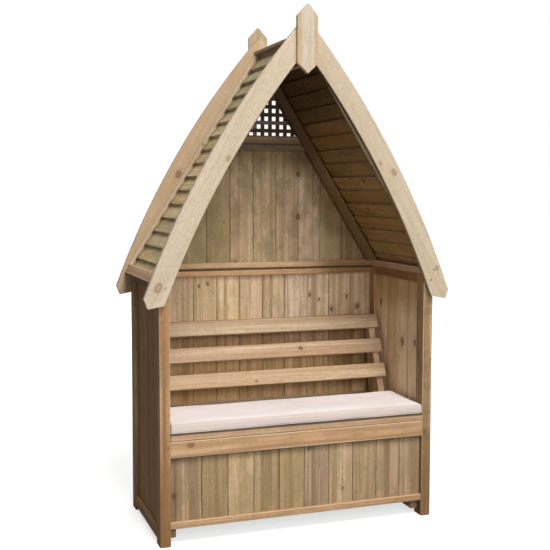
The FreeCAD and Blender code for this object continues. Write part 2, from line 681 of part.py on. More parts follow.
def box_floor():
    """Floor boards across two bearers on the side frames."""
    length = (BOX_BOARDS_BACK + BEARER_SETBACK, BACK_RAILS_FRONT)
    bearer = timber("y", (INNER_X - BEARER_WIDTH, INNER_X), length, (BEARER_UNDER, BOX_RAIL_BOTTOM))
    save("floor_bearers", bearer, mirrored(bearer, "x"))
    outlines = board_outlines(BOX_BOARDS_BACK, BACK_BOARDS_FRONT, BOX_BOARDS_BACK + BOARD_COVER,
                              FLOOR_TOP, BOX_RAIL_BOTTOM)
    save("floor_boards", *[prism(outline, "x", -INNER_X, INNER_X) for outline in outlines])


def seat_frame():
    """Ledgers round the box and the cross rail that carries the hinges."""
    z = (LEDGER_UNDER, BOARDS_UNDER)
    save_pair("seat_ledger", timber("y", (LEDGER_INNER_X, INNER_X), (BOX_BOARDS_BACK, BACK_LEDGER_FRONT), z))
    save("back_seat_ledger", timber("x", (-INNER_X, INNER_X), (BACK_LEDGER_FRONT, BACK_BOARDS_FRONT), z))
    cross = (REAR_BOARDS_FRONT, REAR_BOARDS_FRONT + LEDGER_WIDTH)
    save("seat_cross_rail", timber("x", (-LEDGER_INNER_X, LEDGER_INNER_X), cross, z))


def seat_boards(low, high, count):
    """Equal boards across the seat between two depths, with a gap between neighbours."""
    width = (high - low - (count - 1) * SEAT_BOARD_GAP) / count
    starts = [low + index * (width + SEAT_BOARD_GAP) for index in range(count)]
    return [timber("x", (-LID_X, LID_X), (y, y + width), (BOARDS_UNDER, SEAT_TOP)) for y in starts]


def seat():
    """Fixed boards at the back, and the lid: its lip, boards and battens."""
    save("rear_seat_boards", *seat_boards(REAR_BOARDS_FRONT, BACK_BOARDS_FRONT, REAR_BOARD_COUNT))
    save("lid_boards", *seat_boards(BOX_BOARDS_FRONT, LID_BACK, LID_BOARD_COUNT))
    lip = timber("x", (-LID_X, LID_X), (-HALF_DEPTH, BOX_BOARDS_FRONT), (LID_LIP_UNDER, SEAT_TOP))
    save("lid_front_lip", lip)
    y = (BOX_BOARDS_BACK + LEDGER_WIDTH + LID_BATTEN_GAP, LID_BACK - LID_BATTEN_GAP)
    z = (BOARDS_UNDER - LID_BATTEN_THICK, BOARDS_UNDER)
    half = LID_BATTEN_WIDTH / 2
    places = (-LID_BATTEN_SPACING, 0.0, LID_BATTEN_SPACING)
    save("lid_battens", *[timber("y", (x - half, x + half), y, z) for x in places])


# Butt hinges: leaves in the gap behind the lid, with three knuckles on a headed pin above it.

def knuckle_spans(x):
    """X spans of a hinge's three knuckles about its middle."""
    step = HINGE_KNUCKLE_LENGTH + HINGE_KNUCKLE_GAP
    centres = [x - step, x, x + step]
    half = HINGE_KNUCKLE_LENGTH / 2
    return [(centre - half, centre + half) for centre in centres]


def hinge_leaf(x, y, own_knuckles):
    """One leaf: a plate in the gap, a neck under each of its knuckles, and the bored knuckles."""
    spans = knuckle_spans(x)
    line = (HINGE_LINE_Y, HINGE_LINE_Z)
    under = SEAT_TOP - HINGE_LIFT
    leaf = box((spans[0][0], spans[-1][1]), y, (SEAT_TOP - HINGE_LEAF_HEIGHT, under))
    for index in own_knuckles:
        leaf = leaf.fuse(box(spans[index], y, (under, HINGE_LINE_Z)))
        leaf = leaf.fuse(cylinder(HINGE_BARREL_RADIUS, "x", *spans[index], line))
    ends = (spans[0][0] - PIN_HEAD_THICK, spans[-1][1] + PIN_HEAD_THICK)
    bore = cylinder(PIN_RADIUS + PIN_CLEARANCE, "x", *ends, line)
    return leaf.cut(bore).removeSplitter()


def hinge_pin(x):
    """Pin through all three knuckles, with a head at each end."""
    spans = knuckle_spans(x)
    line = (HINGE_LINE_Y, HINGE_LINE_Z)
    low = spans[0][0] - HINGE_KNUCKLE_GAP
    high = spans[-1][1] + HINGE_KNUCKLE_GAP
    pin = cylinder(PIN_RADIUS, "x", low, high, line)
    pin = pin.fuse(cylinder(PIN_HEAD_RADIUS, "x", low - PIN_HEAD_THICK, low, line))
    return pin.fuse(cylinder(PIN_HEAD_RADIUS, "x", high, high + PIN_HEAD_THICK, line)).removeSplitter()


def hinges():
    """Two hinges: one leaf of each on the fixed boards, the other on the lid."""
    places = (-HINGE_SPACING / 2, HINGE_SPACING / 2)
    fixed = (REAR_BOARDS_FRONT - HINGE_LEAF_THICK, REAR_BOARDS_FRONT)
    moving = (LID_BACK, LID_BACK + HINGE_LEAF_THICK)
    save("hinge_leaves_fixed", *[hinge_leaf(x, fixed, (0, 2)) for x in places])
    save("hinge_leaves_moving", *[hinge_leaf(x, moving, (1,)) for x in places])
    save("hinge_pins", *[hinge_pin(x) for x in places])


# Backrest: leaning slats on two tapered supports that stand on the fixed boards.

def backrest_front(z):
    """Depth of the backrest's front face at a height."""
    return BACKREST_FRONT_Y + (z - BACKREST_FRONT_Z) * math.tan(BACKREST_LEAN)


def support_front(z):
    """Depth of the supports' front edge, behind the slats, at a height."""
    return backrest_front(z) + BACKREST_SLAT_THICK / math.cos(BACKREST_LEAN)


def backrest_support():
    """Right support: leaning front edge, deep foot, and a short upright edge against the rail."""
    rail_foot = BACKREST_RAIL_TOP - BACKREST_RAIL_HEIGHT
    foot = support_front(SEAT_TOP)
    outline = [(foot, SEAT_TOP), (foot + SUPPORT_FOOT_LENGTH, SEAT_TOP), (BACKREST_RAIL_FRONT, rail_foot),
               (BACKREST_RAIL_FRONT, SUPPORT_TOP), (support_front(SUPPORT_TOP), SUPPORT_TOP)]
    return prism(outline, "x", SUPPORT_OUTER_X - SUPPORT_WIDTH, SUPPORT_OUTER_X)


def backrest_slat(index):
    """One leaning slat across both supports, its long edges eased."""
    bottom = BACKREST_LOWEST_Z + index * BACKREST_SLAT_PITCH * math.cos(BACKREST_LEAN)
    start = backrest_front(bottom)
    corners = eased_rectangle((0, BACKREST_SLAT_THICK), (0, BACKREST_SLAT_WIDTH), EDGE_EASE)
    lean_y, lean_z = math.sin(BACKREST_LEAN), math.cos(BACKREST_LEAN)
    outline = [(start + back * lean_z + up * lean_y, bottom - back * lean_y + up * lean_z)
               for back, up in corners]
    return prism(outline, "x", -LID_X, LID_X)


def backrest():
    """Supports, slats and the rail on the back wall that steadies the supports."""
    save_pair("backrest_support", backrest_support())
    save("backrest_slats", *[backrest_slat(index) for index in range(BACKREST_SLAT_COUNT)])
    rail = (BACKREST_RAIL_TOP - BACKREST_RAIL_HEIGHT, BACKREST_RAIL_TOP)
    save("backrest_rail", timber("x", (-INNER_X, INNER_X), (BACKREST_RAIL_FRONT, BACK_BOARDS_FRONT), rail))


# Cushion: flat underneath, crowned on top, with bulging long sides drawn in at the ends.

def cushion_section(x, draw, crown):
    """Closed section of the cushion at a place along it."""
    low = SEAT_TOP + CUSHION_LIFT
    front = -HALF_DEPTH - CUSHION_FRONT_OVERHANG + draw
    back = LID_BACK - CUSHION_REAR_INSET - draw
    top = low + CUSHION_EDGE_HEIGHT - draw
    middle_z = (low + top) / 2
    front_in, back_in = front + CUSHION_EDGE_BULGE, back - CUSHION_EDGE_BULGE
    points = {
        "low_front": (front_in, low), "low_back": (back_in, low), "back": (back, middle_z),
        "top_back": (back_in, top), "crown": ((front + back) / 2, top + crown),
        "top_front": (front_in, top), "front": (front, middle_z),
    }
    at = {name: FreeCAD.Vector(x, y, z) for name, (y, z) in points.items()}
    return Part.Wire([
        Part.makeLine(at["low_front"], at["low_back"]),
        Part.Arc(at["low_back"], at["back"], at["top_back"]).toShape(),
        Part.Arc(at["top_back"], at["crown"], at["top_front"]).toShape(),
        Part.Arc(at["top_front"], at["front"], at["low_front"]).toShape(),
    ])


def cushion():
    """Loft through sections that shrink and flatten at both ends."""
    end = INNER_X - CUSHION_SIDE_GAP
    near = end - CUSHION_END_ROUND
    stations = [(end, CUSHION_DRAW_IN, CUSHION_CROWN / 4), (near, 0.0, CUSHION_CROWN / 2),
                (near / 2, 0.0, CUSHION_CROWN)]
    right = [cushion_section(*station) for station in stations]
    left = [cushion_section(-x, draw, crown) for x, draw, crown in reversed(stations)]
    return Part.makeLoft(right + left, True, True)


def main():
    """Build every node and write it to the parts folder."""
    os.makedirs("parts", exist_ok=True)
    side_frames()
    back_wall()
    gable()
    trellis()
    roof()
    gable_ends()
    box_front()
    box_floor()
    seat_frame()
    seat()
    hinges()
    backrest()
    save("cushion", cushion())


main()
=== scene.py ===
import logging
import math
from dataclasses import dataclass, replace
from enum import Enum

import bmesh
import bpy
from mathutils import Matrix, Vector, noise


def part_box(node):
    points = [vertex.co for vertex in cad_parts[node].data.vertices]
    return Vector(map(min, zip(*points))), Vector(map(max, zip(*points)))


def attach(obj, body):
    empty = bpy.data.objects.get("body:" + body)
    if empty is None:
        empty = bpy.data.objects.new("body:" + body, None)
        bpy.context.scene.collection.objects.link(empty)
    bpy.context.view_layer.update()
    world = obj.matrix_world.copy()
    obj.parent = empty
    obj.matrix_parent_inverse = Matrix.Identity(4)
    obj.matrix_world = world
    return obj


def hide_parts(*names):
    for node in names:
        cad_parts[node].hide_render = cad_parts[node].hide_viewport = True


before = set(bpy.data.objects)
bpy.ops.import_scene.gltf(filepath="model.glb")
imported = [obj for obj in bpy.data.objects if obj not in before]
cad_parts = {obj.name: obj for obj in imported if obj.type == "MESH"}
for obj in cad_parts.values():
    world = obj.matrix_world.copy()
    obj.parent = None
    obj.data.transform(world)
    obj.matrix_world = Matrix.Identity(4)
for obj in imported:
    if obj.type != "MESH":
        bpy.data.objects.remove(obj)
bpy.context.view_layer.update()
LOG = logging.getLogger("arbour")

Colour = tuple[float, float, float, float]
Direction = tuple[float, float, float]
Spot = tuple[float, float, float]
Socket = bpy.types.NodeSocket

ALONG_X: Direction = (1.0, 0.0, 0.0)
ALONG_Y: Direction = (0.0, 1.0, 0.0)
ALONG_Z: Direction = (0.0, 0.0, 1.0)

BOARD_COVER = 0.115
AREA_DEPTH = 0.009
ROOF_FOOT: Direction = (0.5993, 0.0, 1.137)
ROOF_RISE = 0.968
ROOF_LEAN = math.atan2(ROOF_FOOT[0], ROOF_RISE)
UP_SLOPE: Direction = (-math.sin(ROOF_LEAN), 0.0, math.cos(ROOF_LEAN))


def display(red: int, green: int, blue: int) -> Colour:
    """Turn a colour as it looks on a screen into the linear one that shaders take.

    Args:
        red: Red, from 0 to 255.
        green: Green, from 0 to 255.
        blue: Blue, from 0 to 255.

    Returns:
        The linear colour with full alpha.
    """
    parts = [part / 255 for part in (red, green, blue)]
    linear = [part / 12.92 if part < 0.04045 else ((part + 0.055) / 1.055) ** 2.4 for part in parts]
    return (linear[0], linear[1], linear[2], 1.0)


class Saw(Enum):
    """How the face of a timber was cut."""

    PLANED = "planed"
    ROUGH = "rough"


@dataclass(frozen=True)
class Timber:
    """A softwood finish.

    Attributes:
        name: What the finish is called.
        pale: Colour of the early wood.
        dark: Colour of the late wood's lines.
        patch: Colour of the blotches left by pressure treatment and rain.
        patches: How much of the surface the blotches take, from 0 to 1.
        spread: How far one board's brightness may be from the next one's.
        figure: Strength of the ring lines, from 0 to 1.
        knots: Share of board lengths that hold a knot.
        knot_size: Radius of a middling knot in metres.
        saw: How the face was cut.
        streaks: Strength of the stripes along the grain, where 1 is usual.
        heart: Colour of the knots.
        weathered: How far the lowest part has gone dark, from 0 to 1.
    """

    name: str
    pale: Colour
    dark: Colour
    patch: Colour
    patches: float = 0.45
    spread: float = 0.04
    figure: float = 0.25
    knots: float = 0.3
    knot_size: float = 0.006
    saw: Saw = Saw.PLANED
    streaks: float = 1.0
    heart: Colour = display(94, 66, 40)
    weathered: float = 0.15


POST = Timber("post", display(177, 141, 99), display(126, 88, 52), display(132, 107, 72),
              spread=0.03, figure=0.22, knots=0.4, weathered=0.7)
DULL_POST = Timber("dull_post", display(153, 116, 75), display(106, 74, 40), display(112, 86, 54),
                   patches=0.5, spread=0.02, figure=0.22, knots=0.5, weathered=0.5)
BOARD = Timber("board", display(193, 166, 129), display(122, 92, 58), display(142, 128, 93),
               patches=0.58, spread=0.17, figure=0.3, knots=0.45, streaks=1.05)
WALL = Timber("wall", display(220, 192, 158), display(140, 108, 74), display(162, 144, 110),
              patches=0.5, spread=0.12, figure=0.3, streaks=1.15)
# A paler copy of the board finish for the side boards: painted light on their inner faces.
PALE_LIT_BOARD = Timber("inner", display(242, 215, 175), display(172, 136, 96), display(188, 164, 127),
               patches=0.4, spread=0.12, figure=0.3, streaks=1.1)
GABLE = Timber("gable", display(194, 167, 128), display(132, 106, 72), display(140, 126, 92),
               patches=0.75, spread=0.08, knots=0.2, streaks=0.75)
RAIL = Timber("rail", display(186, 153, 116), display(138, 104, 68), display(142, 116, 82),
              patches=0.4, knots=0.25)
SHADED = Timber("shaded", display(106, 82, 54), display(66, 48, 28), display(80, 64, 40),
                patches=0.5, knots=0.2)
DIM = Timber("dim", display(124, 96, 62), display(84, 62, 36), display(94, 76, 48), patches=0.5)
TRIM = Timber("trim", display(194, 158, 120), display(148, 111, 74), display(157, 127, 92),
              patches=0.4, spread=0.05, knots=0.18, heart=display(118, 82, 50))
SLAT = Timber("slat", display(200, 173, 128), display(140, 113, 72), display(154, 138, 96),
              patches=0.6, spread=0.14, knots=0.25, knot_size=0.007, saw=Saw.ROUGH, streaks=1.2)
CREAM = Timber("cream", display(189, 174, 151), display(166, 144, 114), display(176, 160, 136),
               spread=0.02, figure=0.18, knots=0.1, streaks=0.55, heart=display(150, 118, 84))
BLUSH = Timber("blush", display(201, 177, 150), display(160, 132, 100), display(178, 154, 124),
               figure=0.2, knots=0.1, streaks=0.8, heart=display(126, 92, 60))
SEATING = Timber("seating", display(187, 163, 136), display(144, 110, 76), display(164, 139, 112),
                 spread=0.05)
LATH = Timber("lath", display(82, 58, 32), display(50, 34, 18), display(62, 45, 25),
              patches=0.4, spread=0.08, figure=0.2, knots=0.05, knot_size=0.005, saw=Saw.ROUGH)

SUN_BLEACHED = display(232, 214, 188)
JOINT_DIRT = display(56, 42, 26)
SEAM_SHADE = display(50, 36, 22)

WHITE: Colour = (1.0, 1.0, 1.0, 1.0)
# Tints of painted shade: on faces that look away from the seat, darkest on the side boards and top
# rails, and on faces that look towards it under the roof.
OUTER_SHADE: Colour = (0.6, 0.51, 0.36, 1.0)
OUTER_BOARD_SHADE: Colour = (0.275, 0.166, 0.057, 1.0)
OUTER_RAIL_SHADE: Colour = (0.19, 0.105, 0.04, 1.0)
INNER_RAIL_SHADE: Colour = (0.56, 0.45, 0.32, 1.0)
SLAT_UNDERSIDE_SHADE: Colour = (0.6, 0.48, 0.32, 1.0)
BARGE_SOFFIT_SHADE: Colour = (0.5, 0.42, 0.34, 1.0)
# A tint above 1: a painted highlight on the rafters' faces that look away from the seat.
EDGE_HIGHLIGHT: Colour = (3.6, 3.3, 3.0, 1.0)


@dataclass(frozen=True)
class Overlay:
    """A tone laid over the wood in one kind of place: abrasion, end grain, painted shade or a
    painted highlight.

    Attributes:
        colour: The colour that it takes there.
        strength: How far it takes that colour, from 0 to 1.
    """

    colour: Colour
    strength: float


# Paler long edges: partly abrasion, partly a painted highlight on the arrises.
EDGE_ABRASION_AND_HIGHLIGHT = Overlay(display(232, 212, 180), 0.4)
# A near-white tone for the downward butts of lapped slats: painted light on faces that stand in
# shade.
BUTT_HIGHLIGHT = Overlay(display(252, 228, 188), 0.92)
END_GRAIN = Overlay(display(96, 70, 44), 0.35)
CORNER_SHADE = Overlay(display(34, 24, 12), 0.8)


@dataclass(frozen=True)
class Stripe:
    """One kind of stripe along the grain.

    Attributes:
        length: Changes in each metre along the grain.
        width: Changes in each metre across it.
        offset: A number that sets it apart from the other kinds.
        low: Noise at which a stripe begins.
        high: Noise at which it is at full strength.
        strength: Its strength in a timber with usual streaks.
    """

    length: float
    width: float
    offset: float
    low: float
    high: float
    strength: float


BROWN_STRIPE = Stripe(0.5, 27.0, 0.0, 0.53, 0.6, 0.55)
PALE_STRIPE = Stripe(0.6, 31.0, 5.3, 0.55, 0.63, 0.45)
FINE_STRIPE = Stripe(2.2, 85.0, 9.1, 0.38, 0.7, 0.42)


@dataclass(frozen=True)
class Knot:
    """A knot at a given place.

    Attributes:
        place: Its middle, in metres.
        radius: Its radius across the grain.
    """

    place: Direction
    radius: float


def knots(face: float, spots: tuple[Spot, ...]) -> tuple[Knot, ...]:
    """Knots on an upright face at one depth, from their places across and up and their radii."""
    return tuple(Knot((x, face, z), radius) for x, z, radius in spots)


@dataclass(frozen=True)
class DarkArea:
    """A darker area with soft edges, most often painted shade where one part shadows another.

    Attributes:
        place: Its middle, in metres.
        reach: How far it reaches along X, Y and Z.
        tint: Its tint.
    """

    place: Direction
    reach: Direction
    tint: Colour


@dataclass(frozen=True)
class Lay:
    """How the timbers of one node lie.

    Attributes:
        along: Direction of the grain.
        across: Direction in which one board follows the next.
        start: A joint between boards, measured along across, in metres.
        pitch: Distance from joint to joint, or 0 for one timber.
        jointed: Whether dirt has gathered in the V of each joint.
        folded: Whether the node's left half mirrors its right half.
        under_lap: How much further up a lapped slat starts on its hidden side.
        pale_edges: Whether the long edges are paler, from abrasion and as a painted highlight.
        outer: Tint of the faces that look away from the seat: painted shade, and on the rafters a
            painted highlight.
        inner: Painted shade on the faces that look towards it, which deepens under the ridge.
        seam: Height of a joint with another rail, along which a dark line of painted shade lies, or
            below 0 for none.
        seam_shade: How far the painted shade along that joint spreads.
        crossed: Place along the grain where another timber crosses, with painted shade in the
            corner.
        knots: Knots at given places, besides the scattered ones.
        stains: Darker areas at given places, most of them painted shade.
    """

    along: Direction
    across: Direction
    start: float = 0.0
    pitch: float = 0.0
    jointed: bool = False
    folded: bool = False
    under_lap: float = 0.0
    pale_edges: bool = False
    outer: Colour = WHITE
    inner: Colour = WHITE
    seam: float = -1.0
    seam_shade: float = 0.004
    crossed: float | None = None
    knots: tuple[Knot, ...] = ()
    stains: tuple[DarkArea, ...] = ()


def straight(node: str, **other: object) -> Lay:
    """Lay of a single straight timber: the grain runs along its longest side.

    Args:
        node: The timber's CAD node.
        **other: The lay's other fields.

    Returns:
        Its lay, with pale edges.
    """
    low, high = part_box(node)
    sizes = high - low
    order = sorted(range(3), key=lambda axis: -sizes[axis])
    axes = (ALONG_X, ALONG_Y, ALONG_Z)
    return Lay(axes[order[0]], axes[order[1]], pale_edges=True, **other)


class Output:
    """What a shader node gives out; one that is a number adds and multiplies like any number."""

    def __init__(self, nodes: "Nodes", socket: Socket) -> None:
        """Hold a socket and the tree that it is in."""
        self.nodes = nodes
        self.socket = socket

    def __add__(self, other: "Value") -> "Output":
        """This and another."""
        return self.nodes.math("ADD", self, other)

    def __sub__(self, other: "Value") -> "Output":
        """This less another."""
        return self.nodes.math("SUBTRACT", self, other)

    def __rsub__(self, other: "Value") -> "Output":
        """Another less this."""
        return self.nodes.math("SUBTRACT", other, self)

    def __mul__(self, other: "Value") -> "Output":
        """This times another."""
        return self.nodes.math("MULTIPLY", self, other)

    def __truediv__(self, other: "Value") -> "Output":
        """This divided by another."""
        return self.nodes.math("DIVIDE", self, other)

    def __abs__(self) -> "Output":
        """This without its sign."""
        return self.nodes.math("ABSOLUTE", self)

    __radd__ = __add__
    __rmul__ = __mul__


Value = Output | float | tuple


class Nodes:
    """The node tree of a material or of the surround, with short calls for its nodes."""

    def __init__(self, owner: bpy.types.Material | bpy.types.World) -> None:
        """Start an empty node tree.

        Args:
            owner: What the tree belongs to.
        """
        owner.use_nodes = True
        self.owner = owner
        self.tree = owner.node_tree
        self.tree.nodes.clear()

    def feed(self, socket: Socket, value: Value) -> None:
        """Link a socket, or set it where the value is a constant.

        Args:
            socket: The input.
            value: What it takes.
        """
        if isinstance(value, Output):
            self.tree.links.new(value.socket, socket)
        else:
            socket.default_value = value

    def add(self, kind: str, values: dict | None = None, **settings: object) -> bpy.types.Node:
        """Add a shader node.

        Args:
            kind: The node's type without its prefix.
            values: Values or links of its inputs, by name or index.
            **settings: The node's own options.

        Returns:
            The node.
        """
        made = self.tree.nodes.new("ShaderNode" + kind)
        for key, value in settings.items():
            setattr(made, key, value)
        for key, value in (values or {}).items():
            self.feed(made.inputs[key], value)
        return made

    def out(self, kind: str, values: dict | None = None, pick: int | str = 0,
            **settings: object) -> Output:
        """One output of a new shader node, picked by its name or index."""
        return Output(self, self.add(kind, values, **settings).outputs[pick])

    def math(self, operation: str, *values: Value) -> Output:
        """Result of a Math node."""
        return self.out("Math", dict(enumerate(values)), operation=operation)

    def vector(self, operation: str, *values: Value) -> Output:
        """Vector that results from a Vector Math node."""
        return self.out("VectorMath", dict(enumerate(values)), operation=operation)

    def dot(self, vector: Output, direction: Direction) -> Output:
        """How far a position lies along a direction."""
        return self.out("VectorMath", {0: vector, 1: direction}, "Value", operation="DOT_PRODUCT")

    def length(self, vector: Output) -> Output:
        """Length of a vector."""
        return self.out("VectorMath", {0: vector}, "Value", operation="LENGTH")

    def join(self, x: Value, y: Value, z: Value) -> Output:
        """A vector from three numbers."""
        return self.out("CombineXYZ", {0: x, 1: y, 2: z})

    def split(self, vector: Output) -> list[Output]:
        """The three numbers of a vector."""
        return [Output(self, socket) for socket in self.add("SeparateXYZ", {0: vector}).outputs]

    def noise(self, vector: Output, detail: float = 2.0, roughness: float = 0.5) -> Output:
        """Smooth noise from about 0.2 to 0.8 at a scale of 1."""
        values = {"Vector": vector, "Scale": 1.0, "Detail": detail, "Roughness": roughness}
        return self.out("TexNoise", values)

    def step(self, value: Value, low: Value, high: Value) -> Output:
        """Smooth step of a value from 0 at low to 1 at high."""
        values = {"Value": value, "From Min": low, "From Max": high, "To Min": 0.0, "To Max": 1.0}
        return self.out("MapRange", values, interpolation_type="SMOOTHSTEP")

    def mix(self, share: Value, first: Value, second: Value, blend: str = "MIX") -> Output:
        """Mix of two colours."""
        values = {0: share, 6: first, 7: second}
        return self.out("Mix", values, 2, data_type="RGBA", blend_type=blend)

    def tint(self, colour: Value, tint: Value) -> Output:
        """A colour multiplied by a tint."""
        return self.mix(1.0, colour, tint, "MULTIPLY")

    def overlaid(self, colour: Value, where: Output, overlaid: Overlay) -> Output:
        """A colour with one overlay laid over it, such as abrasion, end grain, painted shade or a
        painted highlight.
        """
        return self.mix(where * overlaid.strength, colour, overlaid.colour)

    def close(self, shader: Output, kind: str = "OutputMaterial") -> None:
        """Lead a shader to the tree's end."""
        self.add(kind, {0: shader})

    def finish(self, colour: Value, roughness: Value, height: Value, relief: float,
               **fixed: object) -> bpy.types.Material:
        """Close the tree with a Principled surface and its bump.

        Args:
            colour: Base colour.
            roughness: Roughness.
            height: Height of the surface, 0 to 1.
            relief: Depth in metres of a height of 1.
            **fixed: Constants of other sockets, with spaces written as underscores.

        Returns:
            The finished material.
        """
        bump = self.out("Bump", {"Height": height, "Strength": 1.0, "Distance": relief})
        values = {"Base Color": colour, "Roughness": roughness, "Normal": bump}
        values.update({key.replace("_", " "): value for key, value in fixed.items()})
        self.close(self.out("BsdfPrincipled", values))
        return self.owner


class Figure:
    """The figure of one node's timbers: growth rings, knots, blotches, joints, pale edges, painted
    shade and painted highlights.

    Attributes:
        ring: Distance from ring to ring.
        ring_shift: How far a board's rings may be moved along it.
        stripe_shift: How far its stripes may be moved.
        cell_length: Length of board that holds one scattered knot at most.
        cell_width: Width of board that holds one.
        cell_shift: How far the knots may be moved, in metres along and in cells across.
        other_half: How far the right half's board numbers are from the left half's.
        skin: How near to the roof's plane a lapped slat's hidden face lies.
        edge_reach: How far the pale edges reach at most.
        joint: Distances from a joint at which its dirt begins and is full.
        line: Distances from a seam at which the dark line of painted shade begins and is full.
        corner: Distances from a crossing timber at which the painted shade begins and is full.
        ridge_shade: Heights at which the painted shade of inner faces begins to deepen and is
            deepest.
        foot: Heights at which weathering begins and is full.
    """

    ring: float = 0.0062
    ring_shift: float = 41.0
    stripe_shift: float = 23.0
    cell_length: float = 0.36
    cell_width: float = 0.105
    cell_shift: tuple[float, float] = (13.7, 17.0)
    other_half: float = 31.0
    skin: float = 0.0086
    edge_reach: float = 0.009
    joint: tuple[float, float] = (0.0028, 0.0008)
    line: tuple[float, float] = (0.0078, 0.0028)
    corner: tuple[float, float] = (0.016, 0.004)
    ridge_shade: tuple[float, float] = (1.45, 2.05)
    foot: tuple[float, float] = (0.62, 0.05)

    def __init__(self, node: str, timber: Timber, lay: Lay, seed: float) -> None:
        """Work out the place in one board, the way a face looks, and each board's own chances.

        Args:
            node: The CAD node.
            timber: Its finish.
            lay: How its timbers lie.
            seed: A number that no other node has.
        """
        n = Nodes(bpy.data.materials.new(f"{timber.name}_{node}"))
        self.nodes, self.timber, self.lay, self.seed = n, timber, lay, seed
        through = tuple(Vector(lay.along).cross(Vector(lay.across)))
        self.reach = [self.extent(node, way) for way in (lay.along, lay.across, through)]
        x, y, self.height = n.split(n.out("TexCoord", pick="Object"))
        normal = n.out("TexCoord", pick="Normal")
        normal_x, normal_y, normal_z = n.split(normal)
        self.place = n.join(abs(x) if lay.folded else x, y, self.height)
        self.outward = normal_x * n.math("SIGN", x)
        self.facing = abs(n.dot(normal, lay.along))
        self.rise = n.dot(n.join(self.outward, normal_y, normal_z), lay.across)
        self.along = n.dot(self.place, lay.along)
        self.sideways = n.dot(self.place, lay.across)
        self.deep = n.dot(self.place, through)
        self.middle = sum(self.reach[2]) / 2
        if lay.pitch:
            self.width = lay.pitch
            count = (self.lapped() - lay.start) / lay.pitch
            board = n.math("FLOOR", count)
            self.across = (count - (board + 0.5)) * lay.pitch
        else:
            self.width = self.reach[1][1] - self.reach[1][0]
            board = 0.0
            self.across = self.sideways - sum(self.reach[1]) / 2
        right = n.math("GREATER_THAN", x, 0.0) if lay.folded else 0.0
        self.board = board + right * self.other_half
        key = n.join(self.board * 0.731, seed, 0.0)
        chances = n.out("TexWhiteNoise", {"Vector": key}, "Color", noise_dimensions="3D")
        self.chance = n.split(chances)

    def extent(self, node: str, way: Direction) -> tuple[float, float]:
        """How far a node reaches along a direction.

        Args:
            node: The CAD node.
            way: The direction.

        Returns:
            Its lowest and highest place.
        """
        fold = abs if self.lay.folded else float
        points = [vertex.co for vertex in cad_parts[node].data.vertices]
        places = [Vector((fold(point.x), point.y, point.z)).dot(Vector(way)) for point in points]
        return min(places), max(places)

    def lapped(self) -> Output:
        """Place across the boards, set back on the hidden side of lapped slats.

        Returns:
            The place, in metres.
        """
        if not self.lay.under_lap:
            return self.sideways
        plane = min(self.reach[2], key=abs)
        hidden = self.nodes.math("LESS_THAN", abs(self.deep - plane), self.skin)
        return self.sideways - hidden * self.lay.under_lap

    def knot_parts(self, ratio: Output) -> list[Output]:
        """Parts of a knot, by the distance from its middle in its own radii.

        Args:
            ratio: The distance.

        Returns:
            The knot's own area, the dark rim round it, and the wider area where the grain bends.
        """
        n = self.nodes
        rim = n.step(ratio, 1.5, 1.05) * n.step(ratio, 0.6, 1.0)
        return [n.step(ratio, 1.1, 0.85), rim, n.step(ratio, 4.2, 0.6)]

    def knot_field(self) -> list[Output]:
        """All knots of the node, scattered and placed.

        Returns:
            The same three parts as one knot has.
        """
        n = self.nodes
        first, second, _ = self.chance
        run = (self.along + first * self.cell_shift[0]) / self.cell_length
        row = (self.across + self.deep) / self.cell_width + second * self.cell_shift[1]
        place = n.join(run, row, 0.0)
        cells = n.add("TexVoronoi", {"Vector": place, "Scale": 1.0}, voronoi_dimensions="2D")
        away = n.vector("SUBTRACT", place, Output(n, cells.outputs["Position"]))
        cell = (self.cell_length * 0.8, self.cell_width, 0.0)
        distance = n.length(n.vector("MULTIPLY", away, cell))
        luck, size, _ = n.split(Output(n, cells.outputs["Color"]))
        there = n.math("LESS_THAN", luck, self.timber.knots)
        radius = (0.5 + size * 0.9) * self.timber.knot_size
        uneven_at = n.join(self.along * 90.0, self.sideways * 140.0, self.seed)
        uneven = (n.noise(uneven_at) - 0.5) * 1.1
        parts = [there * part for part in self.knot_parts(distance / radius + uneven)]
        for knot in self.lay.knots:
            placed = self.knot_parts(self.from_knot(knot) + uneven)
            parts = [n.math("MAXIMUM", part, more) for part, more in zip(parts, placed)]
        return parts

    def from_knot(self, knot: Knot) -> Output:
        """Distance from a knot's middle.

        Args:
            knot: The knot.

        Returns:
            The distance in the knot's own radii.
        """
        x, y, z = knot.place
        centre = Vector((abs(x) if self.lay.folded else x, y, z))
        run = (self.along - centre.dot(Vector(self.lay.along))) * 0.7
        aside = self.sideways - centre.dot(Vector(self.lay.across))
        return self.nodes.length(self.nodes.join(run, aside, 0.0)) / knot.radius

    def rings(self, halo: Output) -> Output:
        """Late-wood lines of a trunk whose pith lies behind the board and drifts along it.

        Args:
            halo: Where the grain bends round a knot.

        Returns:
            Strength of the late wood, 0 to 1.
        """
        n = self.nodes
        first, second, third = self.chance
        offset = self.along * 1.1 + first * self.ring_shift
        drift = n.noise(n.join(offset, self.board, self.seed), 1.0) - 0.5
        pith = 0.018 + second * 0.05
        depth = self.deep - self.middle + pith + drift * 0.075
        side = self.across + (third - 0.5) * (self.width * 0.7)
        radius = n.math("SQRT", side * side + depth * depth)
        ripple = n.noise(n.join(offset * 4.0, side * 30.0, depth * 30.0)) * 0.9
        part = n.math("FRACT", radius / self.ring + (ripple + halo * 2.6))
        return n.step(part, 0.25, 0.9) * n.step(part, 1.0, 0.93)

    def striped(self, stripe: Stripe, run: Output) -> Output:
        """Strength of one kind of stripe.

        Args:
            stripe: The kind.
            run: Place along the grain.

        Returns:
            Its share of the colour, 0 to 1.
        """
        n = self.nodes
        aside = self.across * stripe.width + stripe.offset
        place = n.join(run * stripe.length, aside, self.deep * stripe.width)
        share = stripe.strength * self.timber.streaks
        return n.step(n.noise(place), stripe.low, stripe.high) * share

